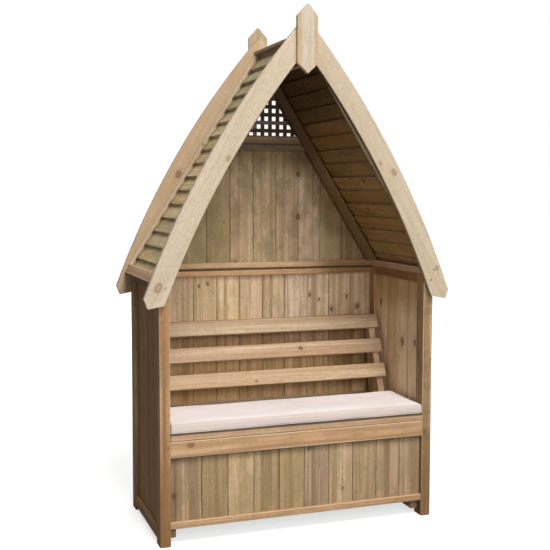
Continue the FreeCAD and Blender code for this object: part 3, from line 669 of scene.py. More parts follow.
    def colour(self, late: Output, core: Output, rim: Output, halo: Output) -> Output:
        """Colour of clean wood and its knots, with each board's own tone.

        Args:
            late: Strength of the late wood.
            core: The knots' own areas.
            rim: The rims round them.
            halo: Where the grain bends round them.

        Returns:
            The colour.
        """
        n, timber = self.nodes, self.timber
        first, second, third = self.chance
        run = self.along + third * self.stripe_shift
        colour = n.mix(late * timber.figure, timber.pale, timber.dark)
        pale_tone = n.mix(0.5, timber.pale, SUN_BLEACHED)
        stripes = ((BROWN_STRIPE, timber.dark), (PALE_STRIPE, pale_tone), (FINE_STRIPE, timber.dark))
        for stripe, tone in stripes:
            colour = n.mix(self.striped(stripe, run), colour, tone)
        stain_at = n.join(run * 9.0, self.across * 15.0, self.board + self.seed)
        stain = n.step(n.noise(stain_at, 4.0, 0.65), 0.43, 0.64)
        colour = n.mix(stain * timber.patches, colour, timber.patch)
        board_stain = n.step(third, 0.5, 0.95) * (0.7 * timber.patches)
        colour = n.mix(board_stain, colour, timber.patch)
        grit_at = n.join(run * 70.0, self.across * 190.0, self.deep * 190.0)
        grit = 0.7 + n.noise(grit_at, 2.0, 0.7) * 0.6
        colour = n.tint(colour, n.join(grit, grit, grit))
        colour = n.mix(halo * 0.28, colour, timber.dark)
        own = {"Hue": 0.492 + second * 0.013, "Saturation": 0.9 + third * 0.2,
               "Value": (1.0 - timber.spread) + first * (2 * timber.spread), "Fac": 1.0}
        colour = n.out("HueSaturation", {**own, "Color": colour})
        colour = n.mix(core * 0.7, colour, timber.heart)
        return n.mix(rim * 0.5, colour, tuple(0.5 * part for part in timber.heart[:3]) + (1.0,))

    def sawn(self, colour: Output, ribs: Output) -> Output:
        """Colour with dark saw marks."""
        return self.nodes.mix(ribs * 0.22, colour, self.timber.dark)

    def patched_darker(self, colour: Output) -> Output:
        """Colour with the node's darker areas laid over it, most of them painted shade.

        Args:
            colour: The colour under them.

        Returns:
            The colour with them.
        """
        n = self.nodes
        for stain in self.lay.stains:
            away = n.vector("SUBTRACT", self.place, stain.place)
            scaled = n.vector("MULTIPLY", away, tuple(1.0 / reach for reach in stain.reach))
            share = n.step(n.length(scaled), 1.0, 0.6)
            colour = n.mix(share, colour, n.tint(colour, stain.tint))
        return colour

    def edges_paled(self, colour: Output) -> Output:
        """Colour with paler long edges, as on a single timber: abrasion and a painted highlight on
        the arrises.

        Args:
            colour: The colour under them.

        Returns:
            The colour with them.
        """
        n = self.nodes
        places = (self.across, self.deep - self.middle)
        halves = [(high - low) / 2 for low, high in self.reach[1:]]
        gaps = [half - abs(place) for half, place in zip(halves, places)]
        fray = n.noise(n.join(self.along * 60.0, self.seed, 0.0), 3.0, 0.7)
        edge = n.step(n.math("MAXIMUM", *gaps), fray * self.edge_reach, 0.0012)
        return n.overlaid(colour, edge, EDGE_ABRASION_AND_HIGHLIGHT)

    def jointed(self, colour: Output) -> Output:
        """Colour with patchy dirt in the joints between boards.

        Args:
            colour: The colour under it.

        Returns:
            The colour with it.
        """
        n = self.nodes
        gap = self.lay.pitch / 2 - abs(self.across)
        patchy = n.noise(n.join(self.along * 4.0, self.sideways * 12.0, self.seed), 3.0)
        dirt = 0.4 + n.step(patchy, 0.35, 0.62) * 0.45
        return n.mix(n.step(gap, *self.joint) * dirt, colour, JOINT_DIRT)

    def lit_and_shaded_faces(self, colour: Output) -> Output:
        """Colour with painted shade, and on the rafters a painted highlight, on the faces that look
        out and in.

        Args:
            colour: The colour without them.

        Returns:
            The colour with them.
        """
        n, lay = self.nodes, self.lay
        if lay.outer != WHITE:
            colour = n.mix(n.step(self.outward, 0.35, 0.6), colour, n.tint(colour, lay.outer))
        if lay.inner != WHITE:
            deepest_shade = tuple(part ** 2.4 for part in lay.inner[:3]) + (1.0,)
            inner = n.mix(n.step(self.height, *self.ridge_shade), lay.inner, deepest_shade)
            colour = n.mix(n.step(self.outward, -0.4, -0.8), colour, n.tint(colour, inner))
        return colour

    def shaded_and_weathered(self, colour: Output) -> Output:
        """Colour with painted shade along a seam and beside a crossing timber, and a weathered
        foot.

        Args:
            colour: The clean colour.

        Returns:
            The colour with them.
        """
        n, lay = self.nodes, self.lay
        # A dark line of painted shade along the seam, with a softer spread of it.
        if lay.seam > 0.0:
            near = abs(self.height - lay.seam)
            spread = n.step(near, lay.seam_shade, 0.0) * 0.45
            seam_shade = n.math("MAXIMUM", n.step(near, *self.line) * 0.88, spread)
            colour = n.mix(seam_shade, colour, SEAM_SHADE)
        # Painted shade in the corner beside a crossing timber.
        if lay.crossed is not None:
            corner = n.step(abs(self.along - lay.crossed), *self.corner)
            colour = n.overlaid(colour, corner, CORNER_SHADE)
        foot = n.step(self.height, *self.foot) * self.timber.weathered
        return n.mix(foot, colour, self.timber.dark)

    def relief(self, late: Output, core: Output) -> Output:
        """Height of the surface without saw marks, 0 to 1."""
        fibre_at = self.nodes.join(self.along * 14.0, self.across * 900.0, self.deep * 900.0)
        return late * 0.3 + self.nodes.noise(fibre_at) * 0.35 - core * 0.25

    def ribs(self) -> Output:
        """Slanting marks of a coarse band saw.

        Returns:
            Their height, 0 to 1.
        """
        n = self.nodes
        wander = n.noise(n.join(self.along * 9.0, self.across * 40.0, self.board))
        slanted = self.along + self.across * 0.5
        turns = (slanted + wander * 0.006) * (2 * math.pi / 0.0115)
        return 0.5 + n.math("SINE", turns) * 0.5

    def material(self) -> bpy.types.Material:
        """Build the whole material.

        Returns:
            The material of this node.
        """
        n, lay = self.nodes, self.lay
        rough = self.timber.saw is Saw.ROUGH
        core, rim, halo = self.knot_field()
        late = self.rings(halo)
        height = self.relief(late, core)
        colour = self.colour(late, core, rim, halo)
        if rough:
            ribs = self.ribs()
            height = height + ribs * 0.8
            colour = self.sawn(colour, ribs)
        # Painted light on the downward butts of lapped slats.
        if lay.under_lap:
            colour = n.overlaid(colour, n.step(self.rise, -0.5, -0.85), BUTT_HIGHLIGHT)
        colour = self.patched_darker(colour)
        if lay.pale_edges:
            colour = self.edges_paled(colour)
        if lay.jointed:
            colour = self.jointed(colour)
        colour = n.overlaid(colour, n.step(self.facing, 0.8, 0.95), END_GRAIN)
        colour = self.shaded_and_weathered(self.lit_and_shaded_faces(colour))
        depth = 0.0009 if rough else 0.00035
        return n.finish(colour, 0.62 + late * 0.12, height, depth, Specular_IOR_Level=0.3)


def put_on(node: str, material: bpy.types.Material) -> None:
    """Give a CAD node its material.

    Args:
        node: The node.
        material: The material.
    """
    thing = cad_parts[node]
    if not thing.material_slots:
        thing.data.materials.append(material)
    for slot in thing.material_slots:
        slot.material = material
    LOG.info("dressed %s", node)


def timber(nodes: tuple[str, ...], finish: Timber, lay: Lay | None = None) -> None:
    """Give each of some nodes its own figure of one timber.

    Args:
        nodes: The CAD nodes.
        finish: Their timber.
        lay: How it lies; left out, each node is one straight timber.
    """
    order = sorted(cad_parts)
    for node in nodes:
        seed = order.index(node) * 1.37
        put_on(node, Figure(node, finish, lay or straight(node), seed).material())


def both(name: str) -> tuple[str, str]:
    """The left and right nodes of a pair."""
    return name + "_left", name + "_right"


def to_mesh(name: str, shape: bmesh.types.BMesh) -> bpy.types.Mesh:
    """Turn a bmesh into a mesh, and free it.

    Args:
        name: The mesh's name.
        shape: The bmesh.

    Returns:
        The mesh.
    """
    mesh = bpy.data.meshes.new(name)
    shape.to_mesh(mesh)
    shape.free()
    return mesh


def show(name: str, data: bpy.types.ID) -> bpy.types.Object:
    """Make an object and link it into the scene.

    Args:
        name: The object's name.
        data: Its mesh, curve, lamp or camera.

    Returns:
        The object.
    """
    thing = bpy.data.objects.new(name, data)
    bpy.context.scene.collection.objects.link(thing)
    return thing


@dataclass(frozen=True)
class Steel:
    """Zinc-plated steel, dulled by weather.

    Attributes:
        base: Colour of the plating.
        stain: Colour of its dull spots.
    """

    base: Colour = display(150, 148, 142)
    stain: Colour = display(104, 92, 78)

    def material(self, name: str) -> bpy.types.Material:
        """Mottled metal with fine scratches.

        Args:
            name: The material's name.

        Returns:
            The material.
        """
        n = Nodes(bpy.data.materials.new(name))
        place = n.out("TexCoord", pick="Object")
        mottled = n.noise(n.vector("MULTIPLY", place, (260.0, 260.0, 260.0)), 3.0, 0.6)
        spots = n.step(mottled, 0.4, 0.7)
        scratches = n.noise(n.vector("MULTIPLY", place, (900.0, 5000.0, 5000.0)))
        colour = n.mix(spots, self.base, self.stain)
        return n.finish(colour, 0.34 + spots * 0.3, scratches, 0.00008, Metallic=0.9)


NAIL_STEEL = Steel(display(96, 90, 80), display(58, 46, 34))


@dataclass
class Nails:
    """Nail heads, set just into the timber.

    Attributes:
        radius: Radius of a head in metres.
        taper: Radius of a head's outer face as a share of that.
        crown: How far a head stands proud of the timber.
        sides: Sides of a head.
    """

    radius: float = 0.0028
    taper: float = 0.7
    crown: float = 0.0005
    sides: int = 12

    def mesh(self, name: str, places: list[tuple[Vector, Vector]], body: str) -> bpy.types.Object:
        """Make one piece of many heads.

        Args:
            name: The piece's name.
            places: The centre and outward normal of each head.
            body: The CAD body that they are driven into.

        Returns:
            The piece.
        """
        shape = bmesh.new()
        for centre, normal in places:
            turn = normal.to_track_quat("Z", "Y").to_matrix().to_4x4()
            bmesh.ops.create_cone(
                shape, cap_ends=True, segments=self.sides, radius1=self.radius,
                radius2=self.radius * self.taper, depth=self.crown * 2,
                matrix=Matrix.Translation(centre) @ turn)
        bmesh.ops.recalc_face_normals(shape, faces=shape.faces[:])
        piece = show(name, to_mesh(name, shape))
        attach(piece, body)
        return piece

    def dress(self, piece: bpy.types.Object) -> None:
        """Put on dull steel."""
        piece.data.materials.append(NAIL_STEEL.material("nail_" + piece.name))
        LOG.info("made %s with %d faces", piece.name, len(piece.data.polygons))


@dataclass
class SideFrames:
    """Posts, side rails and the upright boards between them.

    Attributes:
        board: Cover of one board.
        joint: A joint between two boards, across the side.
        face: How far to each side the boards' inner faces lie.
        knots: Knots in the right side's boards.
    """

    board: float = BOARD_COVER
    joint: float = -0.115
    face: float = 0.5925
    knots: tuple[Knot, ...] = (
        Knot((0.5965, -0.0553, 0.7685), 0.014),
        Knot((0.5965, -0.1825, 0.7804), 0.009),
        Knot((0.5965, 0.1904, 0.9334), 0.011),
    )

    def dress(self) -> None:
        """Posts and rails in warm brown and pale boards, with painted shade on their outer faces
        and under the eaves; the boards' pale tone inside is painted light.
        """
        # Painted shade on the outer faces of the posts and bottom rails.
        for node in ("post_front_left", "post_rear_left", "post_rear_right",
                     *both("side_bottom_rail")):
            timber((node,), POST, straight(node, outer=OUTER_SHADE))
        timber(("post_front_right",), DULL_POST, straight("post_front_right", outer=OUTER_SHADE))
        # Painted shade on the top rails: dark on their outer faces, lighter on their inner faces.
        for node in both("side_top_rail"):
            timber((node,), RAIL, straight(node, outer=OUTER_RAIL_SHADE, inner=INNER_RAIL_SHADE))
        # Painted shade on the boards' inner faces under the eaves, and dark painted shade on their
        # outer faces.
        tint = (0.7, 0.62, 0.5, 1.0)
        shade_under_eaves = tuple(DarkArea((side, 0.0, 1.12), (AREA_DEPTH, 1.0, 0.28), tint)
                           for side in (-self.face, self.face))
        boards = Lay(ALONG_Z, ALONG_Y, self.joint, self.board, jointed=True, outer=OUTER_BOARD_SHADE,
                     stains=shade_under_eaves)
        timber(("side_boards_left",), PALE_LIT_BOARD, boards)
        timber(("side_boards_right",), PALE_LIT_BOARD, replace(boards, knots=self.knots))


@dataclass
class BackWall:
    """Lower back panel and the gable above it, with its trellis.

    Attributes:
        board: Cover of one board.
        wall_joint: A joint between two boards of the wall.
        gable_joint: A joint between two boards of the gable.
        lath: Distance from lath to lath.
        lath_column: Left edge of the place of one upright lath.
        lath_row: Lower edge of the place of one level lath.
        face: Depth just under the boards' inner face.
        back: Depth of the boards' outer face.
        half_width: Half of the wall's width.
        nail_rows: Heights of the rows of nails, one in each rail.
        nail_inset: Distance of a nail from its board's joints.
        nail_margin: Least distance of a nail from the wall's side.
        wall_knots: Knots in the wall's boards.
        gable_knots: Knots in the gable's boards.
        rafter_side: Places beside the right rafter where painted shade darkens the gable's boards.
    """

    board: float = BOARD_COVER
    wall_joint: float = -0.449
    gable_joint: float = 0.077
    lath: float = 0.038
    lath_column: float = -0.0074
    lath_row: float = 1.7087
    face: float = 0.284
    back: float = 0.3
    half_width: float = 0.58
    nail_rows: tuple[float, float] = (0.048, 1.089)
    nail_inset: float = 0.028
    nail_margin: float = 0.012
    wall_knots: tuple[Spot, ...] = (
        (0.2548, 0.9684, 0.0065),
        (0.3037, 0.9434, 0.005),
        (0.3714, 0.8929, 0.007),
        (0.4537, 0.9548, 0.006),
        (0.5126, 0.9022, 0.009),
        (-0.3058, 1.0265, 0.0055),
        (-0.2639, 1.0371, 0.0065),
    )
    gable_knots: tuple[Spot, ...] = ((0.1903, 1.5591, 0.008), (0.1911, 1.3524, 0.009))
    rafter_side: tuple[tuple[float, float], ...] = (
        (0.5, 1.2), (0.41, 1.35), (0.32, 1.5), (0.24, 1.64))

    def stain(self, x: float, z: float, wide: float, high: float,
              tint: tuple[float, float, float]) -> DarkArea:
        """A darker area of painted shade on the boards' inner face alone, from its middle, its
        reach and its tint.
        """
        return DarkArea((x, self.face, z), (wide, AREA_DEPTH, high), (*tint, 1.0))

    def nails(self) -> bpy.types.Object:
        """Two nails through each board of the wall into each of its rails.

        Returns:
            The nails as one piece.
        """
        places = []
        for row in self.nail_rows:
            for index in range(-1, round(2 * self.half_width / self.board)):
                left = self.wall_joint + index * self.board
                for x in (left + self.nail_inset, left + self.board - self.nail_inset):
                    if abs(x) < self.half_width - self.nail_margin:
                        places.append((Vector((x, self.back, row)), Vector(ALONG_Y)))
        return Nails().mesh("back_wall_nails", places, "arbour")

    def dress(self) -> None:
        """Matched boards, tan rails and sawn laths, with painted shade behind the slats, under the
        trellis and beside the right rafter.
        """
        boards = Lay(ALONG_Z, ALONG_X, self.wall_joint, self.board, jointed=True)
        # Painted shadow on the wall behind the backrest slats, and painted shade in its right
        # corner and higher up on its right.
        slat_shadow = self.stain(0.0, 0.6, 4.0, 0.31, (0.72, 0.62, 0.46))
        corner = self.stain(0.6, 0.68, 0.34, 0.32, (0.62, 0.55, 0.42))
        upper = self.stain(0.62, 1.05, 0.16, 0.24, (0.66, 0.6, 0.5))
        timber(("back_boards",), WALL, replace(boards, knots=knots(self.face, self.wall_knots),
                                               stains=(slat_shadow, corner, upper)))
        # Painted shade on the gable's top under the trellis rail and along the right rafter.
        shade_below_trellis = self.stain(0.0, 1.76, 1.5, 0.26, (0.5, 0.44, 0.34))
        edge = tuple(self.stain(x, z, 0.14, 0.15, (0.6, 0.55, 0.47)) for x, z in self.rafter_side)
        timber(("gable_boards",), GABLE, replace(boards, start=self.gable_joint,
                                                 knots=knots(self.face, self.gable_knots),
                                                 stains=(shade_below_trellis, *edge)))
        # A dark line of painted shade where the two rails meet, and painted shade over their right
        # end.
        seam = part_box("back_top_rail")[1][2]
        end = DarkArea((0.64, 0.27, 1.12), (0.42, 1.0, 0.3), (0.5, 0.42, 0.3, 1.0))
        timber(("back_top_rail", "gable_bottom_rail"), TRIM,
               Lay(ALONG_X, ALONG_Z, pale_edges=True, seam=seam, stains=(end,)))
        timber(("back_bottom_rail",), RAIL)
        # A dark line of painted shade along the top of the gable's top rail, under the trellis
        # rail.
        under_trellis = Lay(ALONG_X, ALONG_Z, seam=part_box("gable_top_rail")[1][2])
        timber(("gable_top_rail", "gable_gusset"), SHADED, under_trellis)
        timber(("trellis_bottom_rail",), DIM, under_trellis)
        timber(("trellis_uprights",), LATH, Lay(ALONG_Z, ALONG_X, self.lath_column, self.lath))
        timber(("trellis_crosslaths",), LATH, Lay(ALONG_X, ALONG_Z, self.lath_row, self.lath))
        Nails().dress(self.nails())


@dataclass
class Roof:
    """Slats, rafters, battens, ridge and eaves.

    Attributes:
        pitch: Distance from slat to slat up the slope.
        first: Height up the slope of the second slat's lower edge.
        lap: How far each slat runs under the next.
    """

    pitch: float = 0.0731
    first: float = 0.0266
    lap: float = 0.0119

    def dress(self) -> None:
        """Rough olive slats between lighter trim, with painted shade on their undersides and under
        the ridge.
        """
        start = Vector(ROOF_FOOT).dot(Vector(UP_SLOPE)) + self.first
        # Painted shade near the ridge and on the slats' undersides, and a line of painted shade
        # where they meet the rafter.
        ridge = DarkArea((0.05, 0.0, 2.1), (0.4, 2.0, 0.42), (0.62, 0.68, 0.68, 1.0))
        timber(both("roof_slats"), SLAT,
               Lay(ALONG_Y, UP_SLOPE, start, self.pitch, folded=True, under_lap=self.lap,
                   inner=SLAT_UNDERSIDE_SHADE, crossed=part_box("rafter_right")[0][1], stains=(ridge,)))
        slope = Lay(UP_SLOPE, ALONG_Y, folded=True)
        # Painted shade on the rafters that deepens towards the ridge, and a painted highlight on
        # their outward faces.
        ridge_shade = DarkArea((0.05, 0.0, 2.05), (0.6, 2.0, 0.62), (0.5, 0.42, 0.32, 1.0))
        timber(both("rafter"), DIM, replace(slope, outer=EDGE_HIGHLIGHT, stains=(ridge_shade,)))
        timber(both("eaves_beam"), RAIL)
        timber(("verge_battens_front",), SHADED, slope)
        # The rear verge battens take the pale rear bargeboard finish and pale edges: painted light
        # on battens that stand in shade.
        timber(("verge_battens_rear",), BLUSH, replace(slope, pale_edges=True))
        timber(("ridge_cap",), SLAT)
        timber(("ridge_beam",), RAIL)


@dataclass
class GableEnds:
    """Curved bargeboards, their screws and the finials.

    Attributes:
        foot: Outer shoulder of the right bargeboard's foot.
        apex: Height of the bargeboards' outer point.
        front: Depth of the front bargeboards.
        rear: Depth of the rear ones.
        left_knots: Knots in the left front bargeboard.
        right_knots: Knots in the right front bargeboard.
        rear_knots: Knots in the left rear bargeboard.
        flank: How far to each side of its middle the front finial's long edges lie.
    """

    foot: tuple[float, float] = (0.6906, 1.04)
    apex: float = 2.208
    front: float = -0.325
    rear: float = 0.3
    left_knots: tuple[Spot, ...] = ((-0.6321, 1.0862, 0.013), (-0.3382, 1.6107, 0.007))
    right_knots: tuple[Spot, ...] = (
        (0.412, 1.562, 0.009), (0.631, 1.1379, 0.006), (0.3466, 1.6002, 0.005))
    rear_knots: tuple[Spot, ...] = ((-0.3992, 1.5531, 0.011),)
    flank: float = 0.044

    def dress(self) -> None:
        """Pale cream timber in front and a warmer one behind."""
        along = Vector((-self.foot[0], 0.0, self.apex - self.foot[1])).normalized()
        # Painted shade on the bargeboards' inner edges, deepening towards the apex.
        lay = Lay(tuple(along), tuple(Vector(ALONG_Y).cross(along)), folded=True,
                  inner=BARGE_SOFFIT_SHADE)
        for node, finish, depth, spots in (
                ("bargeboard_front_left", CREAM, self.front, self.left_knots),
                ("bargeboard_front_right", CREAM, self.front, self.right_knots),
                ("bargeboard_rear_left", BLUSH, self.rear, self.rear_knots),
                ("bargeboard_rear_right", BLUSH, self.rear, ())):
            timber((node,), finish, replace(lay, knots=knots(depth, spots)))
        flanks = tuple(DarkArea((side, -0.3, 2.1), (0.018, 1.0, 1.0), (0.94, 0.77, 0.6, 1.0))
                       for side in (-self.flank, self.flank))
        timber(("finial_front",), replace(CREAM, pale=display(193, 184, 166)),
               straight("finial_front", stains=flanks))
        timber(("finial_rear",), replace(CREAM, pale=display(172, 156, 120), figure=0.5))
        put_on("bargeboard_screws", Steel().material("screw_steel"))


@dataclass
class StorageBox:
    """Front, floor and ledgers of the box.

    Attributes:
        board: Cover of one board.
        front_joint: A joint between two boards of the front.
        floor_joint: A joint between two floor boards.
        face: Depth of the front boards' face.
        front_knots: Knots in the front boards.
        fascia_knots: Knots in the fascia.
    """

    board: float = BOARD_COVER
    front_joint: float = -0.443
    floor_joint: float = -0.151
    face: float = -0.278
    front_knots: tuple[Spot, ...] = ((-0.5624, 0.2074, 0.008), (0.199, 0.1614, 0.005))
    fascia_knots: tuple[Spot, ...] = ((-0.4945, 0.423, 0.009),)

    def dress(self) -> None:
        """Matched boards below light trim."""
        beside_post = DarkArea((-0.6, self.face, 0.25), (0.07, 1.0, 0.4), (0.58, 0.52, 0.46, 1.0))
        # A painted shadow under the fascia: a dark line at its lower edge and a softer spread
        # below.
        timber(("box_front_boards",), BOARD,
               Lay(ALONG_Z, ALONG_X, self.front_joint, self.board, jointed=True,
                   seam=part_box("box_fascia")[0][2], seam_shade=0.035,
                   knots=knots(self.face, self.front_knots), stains=(beside_post,)))
        timber(("floor_boards",), BOARD,
               Lay(ALONG_X, ALONG_Y, self.floor_joint, self.board, jointed=True))
        timber(("box_fascia",), TRIM,
               straight("box_fascia", knots=knots(self.face, self.fascia_knots)))
        timber(("box_front_bottom_rail",), TRIM)
        timber(("box_front_ledger", "back_seat_ledger", "seat_cross_rail", *both("seat_ledger")),
               RAIL)
        timber(("floor_bearers",), RAIL, Lay(ALONG_Y, ALONG_Z, folded=True))


@dataclass
class Seat:
    """Lid, hinges and the fixed boards behind them.

    Attributes:
        lid_start: Front edge of the first lid board's place.
        lid_pitch: Distance from lid board to lid board.
        rear_start: Front edge of the first fixed board's place.
        rear_pitch: Distance from fixed board to fixed board.
        batten: Distance from lid batten to lid batten.
    """

    lid_start: float = -0.279
    lid_pitch: float = 0.1033
    rear_start: float = 0.033
    rear_pitch: float = 0.128
    batten: float = 0.45

    def dress(self) -> None:
        """Planed seat boards and plated hinges."""
        timber(("lid_boards",), SEATING, Lay(ALONG_X, ALONG_Y, self.lid_start, self.lid_pitch))
        timber(("rear_seat_boards",), SEATING,
               Lay(ALONG_X, ALONG_Y, self.rear_start, self.rear_pitch))
        # A dark line of painted shadow along the lip's top, under the cushion's front edge.
        timber(("lid_front_lip",), TRIM,
               straight("lid_front_lip", seam=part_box("lid_front_lip")[1][2]))
        timber(("lid_battens",), RAIL, Lay(ALONG_Y, ALONG_X, -self.batten / 2, self.batten))
        for node in ("hinge_leaves_fixed", "hinge_leaves_moving", "hinge_pins"):
            put_on(node, Steel().material("plated_" + node))


@dataclass
class Backrest:
    """Leaning slats, their supports and the rail behind.

    Attributes:
        lean: Lean of the backrest from upright.
        pitch: Distance from slat to slat up the backrest.
        start: Middle of the gap under the lowest slat, measured up the backrest.
    """

    lean: float = math.radians(22.8)
    pitch: float = 0.1242
    start: float = 0.5376

    def dress(self) -> None:
        """Light planed slats on darker supports."""
        up = (0.0, math.sin(self.lean), math.cos(self.lean))
        timber(("backrest_slats",), SEATING, Lay(ALONG_X, up, self.start, self.pitch))
        timber(both("backrest_support"), RAIL, Lay(up, ALONG_Y))
        timber(("backrest_rail",), RAIL)


@dataclass(frozen=True)
class Canvas:
    """Off-white woven cotton.

    Attributes:
        base: Colour of the cloth.
        shade: Colour in the hollows of the weave.
        pale_tone: Colour of the top, which is paler as painted light from above.
        thread: Distance from thread to thread in metres.
    """

    base: Colour = display(209, 194, 185)
    shade: Colour = display(192, 176, 167)
    pale_tone: Colour = display(240, 230, 227)
    thread: float = 0.0011

    def material(self, name: str) -> bpy.types.Material:
        """Plain weave that runs with the cushion's sides.

        Args:
            name: The material's name.

        Returns:
            The material.
        """
        n = Nodes(bpy.data.materials.new(name))
        place = n.out("TexCoord", pick="Object")
        x, y, z = n.split(place)
        upward = n.split(n.out("TexCoord", pick="Normal"))[2]
        # The upward-facing top takes a paler colour: painted light from above.
        base = n.mix(n.step(upward, 0.88, 0.975), self.base, self.pale_tone)
        turn = 2 * math.pi / self.thread
        weave = n.math("SINE", x * turn) * n.math("SINE", (y + z) * turn)
        slub = n.noise(n.join(x * 40.0, y * 700.0, z * 700.0))
        cloud = n.noise(n.vector("MULTIPLY", place, (5.0, 9.0, 9.0)), 3.0)
        hollow = n.step(weave, 0.0, -1.0) * 0.3 + n.step(cloud, 0.4, 0.75) * 0.22
        colour = n.mix(hollow + slub * 0.12, base, self.shade)
        return n.finish(colour, 0.92, weave * 0.5 + slub, 0.0002, Sheen_Weight=0.25,
                        Specular_IOR_Level=0.15)


def ramp(value: float, start: float, length: float) -> float:
    """Straight ramp from 0 at start to 1 a length further on."""
    return min(1.0, max(0.0, (value - start) / length))


def walk(edges: list[bmesh.types.BMEdge]) -> list[Vector]:
    """Points of a closed loop of edges, in order.

    Args:
        edges: The edges, in any order.

    Returns:
        The points.
    """
    links: dict[bmesh.types.BMVert, list[bmesh.types.BMEdge]] = {}
    for edge in edges:
        for vertex in edge.verts:
            links.setdefault(vertex, []).append(edge)
    first = vertex = edges[0].verts[0]
    last = None
    points = []
    while len(points) <= len(edges):
        points.append(vertex.co.copy())
        last = next(edge for edge in links[vertex] if edge is not last)
        vertex = last.other_vert(vertex)
        if vertex is first:
            break
    return points


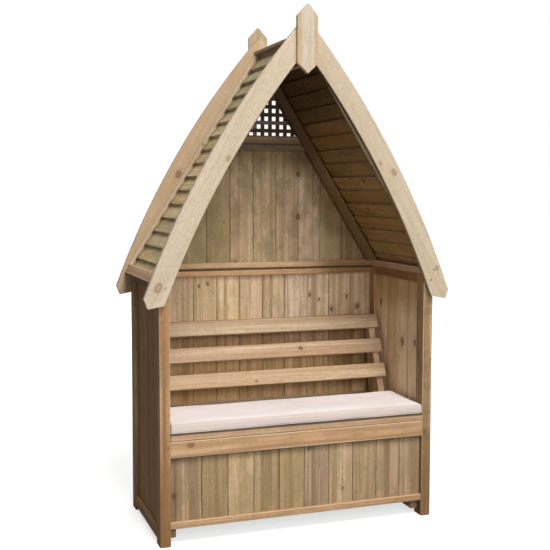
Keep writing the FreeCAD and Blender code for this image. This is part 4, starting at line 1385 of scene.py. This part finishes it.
@dataclass
class SeatCushion:
    """Boxed cushion: top and bottom panels sewn to a straight border, filled until they crown.

    Attributes:
        half_length: Half of its length.
        front: Depth of its front face.
        back: Depth of its rear face.
        under: Height of the lid that it lies on.
        thick: Height of the border.
        round: How far the sewn edges are rounded off.
        voxel: Size of the mesh's cells.
        pressure: Pressure of the filling.
        frames: Frames that the filling takes.
        swell: The most that any point of the cover may move.
        draw_in: How far the filling may pull any point inwards.
        crown: How far the middle of the top stands above its edges.
        waist: How far the sides draw in between the corners.
        pucker: Height of the top's broad waves.
        crease: Height of its fine ones.
        waver: How far the sides wave in and out.
        kick: How far the rear right corner stands up against the side.
        push: How far that corner reaches further back.
        tuck: How far the border's lower edge turns in under it.
        tuck_height: Height over which it turns in.
        lift: How far the lower edge lifts off the lid in places.
        ease: How far past its cut length the cover may reach.
        seam: Radius of the sewn edges' roll.
        top_seam: How far below the border's top the upper seam runs.
        bottom_seam: How far above the lid the lower seam runs.
        body: The CAD body that the cushion rides on.
    """

    half_length: float = 0.5795
    front: float = -0.305
    back: float = 0.026
    under: float = 0.4729
    thick: float = 0.043
    round: float = 0.0025
    voxel: float = 0.006
    pressure: float = 4.0
    frames: int = 20
    swell: float = 0.009
    draw_in: float = 0.001
    crown: float = 0.0095
    waist: float = 0.0025
    pucker: float = 0.0016
    crease: float = 0.0007
    waver: float = 0.0012
    kick: float = 0.003
    push: float = 0.001
    tuck: float = 0.0045
    tuck_height: float = 0.012
    lift: float = 0.004
    ease: float = 0.001
    seam: float = 0.0014
    top_seam: float = 0.002
    bottom_seam: float = 0.005
    body: str = "cushion"

    def centre(self) -> Direction:
        """Middle of the cover as it is cut."""
        return (0.0, (self.front + self.back) / 2, self.under + self.thick / 2)

    def blank(self) -> bpy.types.Object:
        """Cut cover before it is filled: a bevelled block of even cells.

        Returns:
            The cover.
        """
        shape = bmesh.new()
        sizes = Vector((self.half_length * 2, self.back - self.front, self.thick, 1.0))
        bmesh.ops.create_cube(
            shape, size=1.0, matrix=Matrix.Translation(self.centre()) @ Matrix.Diagonal(sizes))
        bmesh.ops.bevel(shape, geom=shape.edges[:], offset=self.round, segments=3, profile=0.5,
                        affect="EDGES", material=-1)
        blank = show("seat_cushion", to_mesh("seat_cushion", shape))
        remesh = blank.modifiers.new("cells", "REMESH")
        remesh.mode = "VOXEL"
        remesh.voxel_size = self.voxel
        self.apply(blank)
        return blank

    def apply(self, piece: bpy.types.Object) -> None:
        """Make a piece's modifiers part of its mesh.

        Args:
            piece: The piece.
        """
        graph = bpy.context.evaluated_depsgraph_get()
        graph.update()
        made = bpy.data.meshes.new_from_object(piece.evaluated_get(graph))
        piece.modifiers.clear()
        old = piece.data
        piece.data = made
        bpy.data.meshes.remove(old)

    def fill(self, piece: bpy.types.Object) -> None:
        """Blow the cover up with its filling, and hold each point near its cut place.

        Args:
            piece: The cover.
        """
        before = [vertex.co.copy() for vertex in piece.data.vertices]
        cloth = piece.modifiers.new("filling", "CLOTH")
        cloth.settings.quality = 6
        cloth.settings.use_pressure = True
        cloth.settings.uniform_pressure_force = self.pressure
        cloth.settings.effector_weights.gravity = 0.0
        cloth.point_cache.frame_start = 1
        cloth.point_cache.frame_end = self.frames
        for number in range(1, self.frames + 1):
            bpy.context.scene.frame_set(number)
        self.apply(piece)
        bpy.context.scene.frame_set(1)
        for vertex, start in zip(piece.data.vertices, before):
            moved = vertex.co - start
            if moved.length > self.swell:
                vertex.co = start + moved.normalized() * self.swell
            for axis, middle in enumerate(self.centre()):
                vertex.co[axis] = self.hold(vertex.co[axis], start[axis], middle)

    def hold(self, place: float, start: float, middle: float) -> float:
        """Keep the cover's crisp edges: a point may swell outwards but hardly draw in.

        Args:
            place: Where the filling puts the point, along one axis.
            start: Where it was cut.
            middle: The cover's middle along that axis.

        Returns:
            Where it may lie.
        """
        outward = 1.0 if start > middle else -1.0
        least = abs(start - middle) - self.draw_in
        return middle + outward * max(outward * (place - middle), least)

    def settle(self, piece: bpy.types.Object) -> None:
        """Lay the cover on the lid, draw its sides in between the corners, and pucker it a little.

        Args:
            piece: The cover.
        """
        half_depth = (self.back - self.front) / 2
        middle = (self.back + self.front) / 2
        for vertex in piece.data.vertices:
            place = vertex.co
            end = min(1.0, abs(place.x) / self.half_length)
            side = (place.y - middle) / half_depth
            pull = self.waist * (1.0 - end ** 4)
            place.y -= math.copysign(pull * abs(side) ** 3, side)
            crowned = self.crown * (1.0 - abs(side) ** 5) * (1.0 - end ** 14)
            place.z = min(place.z, self.under + self.thick + crowned)
            rise = ramp(place.z, self.under, self.thick)
            ripple = noise.noise(Vector((place.x * 7.0, place.y * 16.0, place.z * 30.0)))
            fine = noise.noise(Vector((place.x * 31.0, place.y * 40.0, 3.0)))
            corner = ramp(place.x, 0.43, 0.14) * ramp(place.y, -0.16, 0.18)
            waves = self.pucker * ripple + self.crease * fine
            place.z += rise * (waves + self.kick * corner)
            place.y += self.waver * ripple * abs(side) ** 4 + self.push * corner
            low = max(0.0, 1.0 - (place.z - self.under) / self.tuck_height)
            place.y -= math.copysign(self.tuck * low ** 2 * abs(side) ** 8, side)
            place.z += self.lift * max(0.0, 0.4 + ripple) * low * abs(side) ** 8
            longest = self.half_length + self.ease
            place.x = max(-longest, min(longest, place.x))
            place.y = min(self.back + self.push, place.y)
            place.z = max(self.under, place.z)

    def sewn(self, piece: bpy.types.Object, height: float, name: str) -> bpy.types.Object:
        """Rolled seam round the cover at one height.

        Args:
            piece: The filled cover.
            height: Height of the seam above the lid.
            name: The seam's name.

        Returns:
            The seam as a mesh piece.
        """
        shape = bmesh.new()
        shape.from_mesh(piece.data)
        parts = shape.verts[:] + shape.edges[:] + shape.faces[:]
        level = (0.0, 0.0, self.under + height)
        cut = bmesh.ops.bisect_plane(shape, geom=parts, plane_co=level, plane_no=ALONG_Z)
        points = walk([part for part in cut["geom_cut"] if isinstance(part, bmesh.types.BMEdge)])
        shape.free()
        curve = bpy.data.curves.new(name, "CURVE")
        curve.dimensions = "3D"
        curve.bevel_depth = self.seam
        curve.bevel_resolution = 1
        spline = curve.splines.new("POLY")
        spline.use_cyclic_u = True
        spline.points.add(len(points) - 1)
        for bend, point in zip(spline.points, points):
            bend.co = (*point, 1.0)
        rope = show(name + "_path", curve)
        mesh = bpy.data.meshes.new_from_object(rope)
        bpy.data.objects.remove(rope)
        mesh.shade_smooth()
        seam = show(name, mesh)
        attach(seam, self.body)
        return seam

    def mesh(self) -> list[bpy.types.Object]:
        """Make the filled cushion and its seams.

        Returns:
            The cushion and its seams.
        """
        piece = self.blank()
        self.fill(piece)
        self.settle(piece)
        seams = [self.sewn(piece, self.thick - self.top_seam, "cushion_top_seam"),
                 self.sewn(piece, self.bottom_seam, "cushion_bottom_seam")]
        smooth = piece.modifiers.new("smooth", "SUBSURF")
        smooth.levels = 1
        smooth.render_levels = 1
        self.apply(piece)
        piece.data.shade_smooth()
        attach(piece, self.body)
        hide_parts("cushion")
        return [piece, *seams]

    def dress(self, pieces: list[bpy.types.Object]) -> None:
        """Cover every part in the same cloth.

        Args:
            pieces: The cushion and its seams.
        """
        cloth = Canvas().material("cushion_canvas")
        for piece in pieces:
            piece.data.materials.clear()
            piece.data.materials.append(cloth)
            LOG.info("made %s with %d faces", piece.name, len(piece.data.polygons))


@dataclass(frozen=True)
class Lamp:
    """A square soft lamp.

    Attributes:
        name: What it is called.
        place: Where it hangs.
        target: Where it points.
        size: Its width in metres.
        level: Light on a surface at the target that faces it, where 1 shows colours as written.
    """

    name: str
    place: Direction
    target: Direction
    size: float
    level: float

    def hang(self) -> None:
        """Hang the lamp, unseen by the camera."""
        data = bpy.data.lights.new(self.name, "AREA")
        data.size = self.size
        toward = Vector(self.target) - Vector(self.place)
        data.energy = self.level * math.pi ** 2 * toward.length_squared
        lamp = show(self.name, data)
        lamp.location = self.place
        lamp.visible_camera = False
        lamp.rotation_mode = "QUATERNION"
        lamp.rotation_quaternion = toward.to_track_quat("-Z", "Y")


@dataclass
class Studio:
    """Pale floor, soft lamps, white surround and the camera.

    Attributes:
        eye: Where the camera stands.
        yaw: Turn of the camera to the right of straight ahead.
        pitch: Tilt of the camera below level.
        roll: Turn of the camera about its own line of sight.
        lens: Focal length in millimetres on a 36 mm frame.
        shift: Shift of the frame, sideways and upwards.
        ambient: Light from all round.
        floor_grey: Grey of the floor as it lights the object.
        seen_grey: Grey of the floor as the camera sees it.
        glow: Light that the floor adds to that near the object.
        far_glow: How much more it adds far from it.
        haze: Distances at which the floor begins to brighten and is white.
        lamps: The lamps.
    """

    eye: Direction = (-1.47535, -4.24858, 1.48179)
    yaw: float = 0.366
    pitch: float = 0.077
    roll: float = 0.005
    lens: float = 64.711
    shift: tuple[float, float] = (-0.06625, -0.01524)
    ambient: float = 0.1
    floor_grey: float = 0.28
    seen_grey: float = 0.5
    glow: float = 0.68
    far_glow: float = 0.32
    haze: tuple[float, float] = (0.9, 3.4)
    lamps: tuple[Lamp, ...] = (
        Lamp("key", (0.5, -5.6, 8.6), (0.0, 0.0, 1.1), 3.4, 0.92),
        Lamp("front", (0.2, -8.0, 4.4), (0.0, 0.0, 1.1), 3.4, 0.3),
        Lamp("near", (-0.5, -2.9, 1.4), (0.3, 0.0, 0.9), 0.8, 0.25),
        Lamp("top", (-1.2, 0.6, 6.5), (0.0, 0.0, 1.5), 3.0, 0.32),
        Lamp("rear", (2.2, 6.6, 3.6), (0.0, 0.0, 1.1), 3.4, 0.42),
    )

    def camera(self) -> None:
        """Stand the camera where the photograph was taken from."""
        ahead = math.cos(self.pitch)
        sight = Vector((math.sin(self.yaw) * ahead, math.cos(self.yaw) * ahead,
                        -math.sin(self.pitch)))
        level = Vector((math.cos(self.yaw), -math.sin(self.yaw), 0.0))
        upright = level.cross(sight)
        right = level * math.cos(self.roll) + upright * math.sin(self.roll)
        up = upright * math.cos(self.roll) - level * math.sin(self.roll)
        data = bpy.data.cameras.new("camera")
        data.lens = self.lens
        data.sensor_width = 36.0
        data.shift_x, data.shift_y = self.shift
        data.clip_end = 60.0
        camera = show("camera", data)
        turn = Matrix((right, up, -sight)).transposed()
        camera.matrix_world = Matrix.Translation(self.eye) @ turn.to_4x4()
        bpy.context.scene.camera = camera

    def surround(self) -> None:
        """White to the camera, in reflections and through glass, and soft light on the object."""
        n = Nodes(bpy.data.worlds.new("surround"))
        bpy.context.scene.world = n.owner
        camera, glossy, through = [n.out("LightPath", pick=f"Is {kind} Ray")
                                   for kind in ("Camera", "Glossy", "Transmission")]
        seen = n.math("MAXIMUM", n.math("MAXIMUM", camera, glossy), through)
        strength = n.out("MapRange", {"Value": seen, "To Min": self.ambient, "To Max": 1.0})
        n.close(n.out("Background", {"Color": WHITE, "Strength": strength}), "OutputWorld")

    def floor(self) -> None:
        """Lay a pale floor that keeps the object's shadow."""
        shape = bmesh.new()
        bmesh.ops.create_grid(shape, x_segments=1, y_segments=1, size=25.0)
        floor = show("floor", to_mesh("floor", shape))
        n = Nodes(bpy.data.materials.new("pale_floor"))
        seen = n.out("LightPath", pick="Is Camera Ray")
        greys = [(grey, grey, grey, 1.0) for grey in (self.floor_grey, self.seen_grey)]
        matt = n.out("BsdfDiffuse", {"Color": n.mix(seen, *greys)})
        far = n.step(n.length(n.out("TexCoord", pick="Object")), *self.haze)
        strength = seen * (self.glow + far * self.far_glow)
        glow = n.out("Emission", {"Color": WHITE, "Strength": strength})
        n.close(n.out("AddShader", {0: matt, 1: glow}))
        floor.data.materials.append(n.owner)

    def build(self) -> None:
        """Set up the whole studio."""
        self.floor()
        self.surround()
        for lamp in self.lamps:
            lamp.hang()
        self.camera()


def main() -> None:
    """Build and dress every sub-assembly, then the studio."""
    logging.basicConfig(level=logging.INFO)
    bpy.context.scene.view_settings.view_transform = "Standard"
    for part in (SideFrames(), BackWall(), Roof(), GableEnds(), StorageBox(), Seat(), Backrest()):
        part.dress()
        LOG.info("%s dressed", type(part).__name__)
    cushion = SeatCushion()
    cushion.dress(cushion.mesh())
    Studio().build()
    LOG.info("sizes written")


if __name__ == "__main__":
    main()
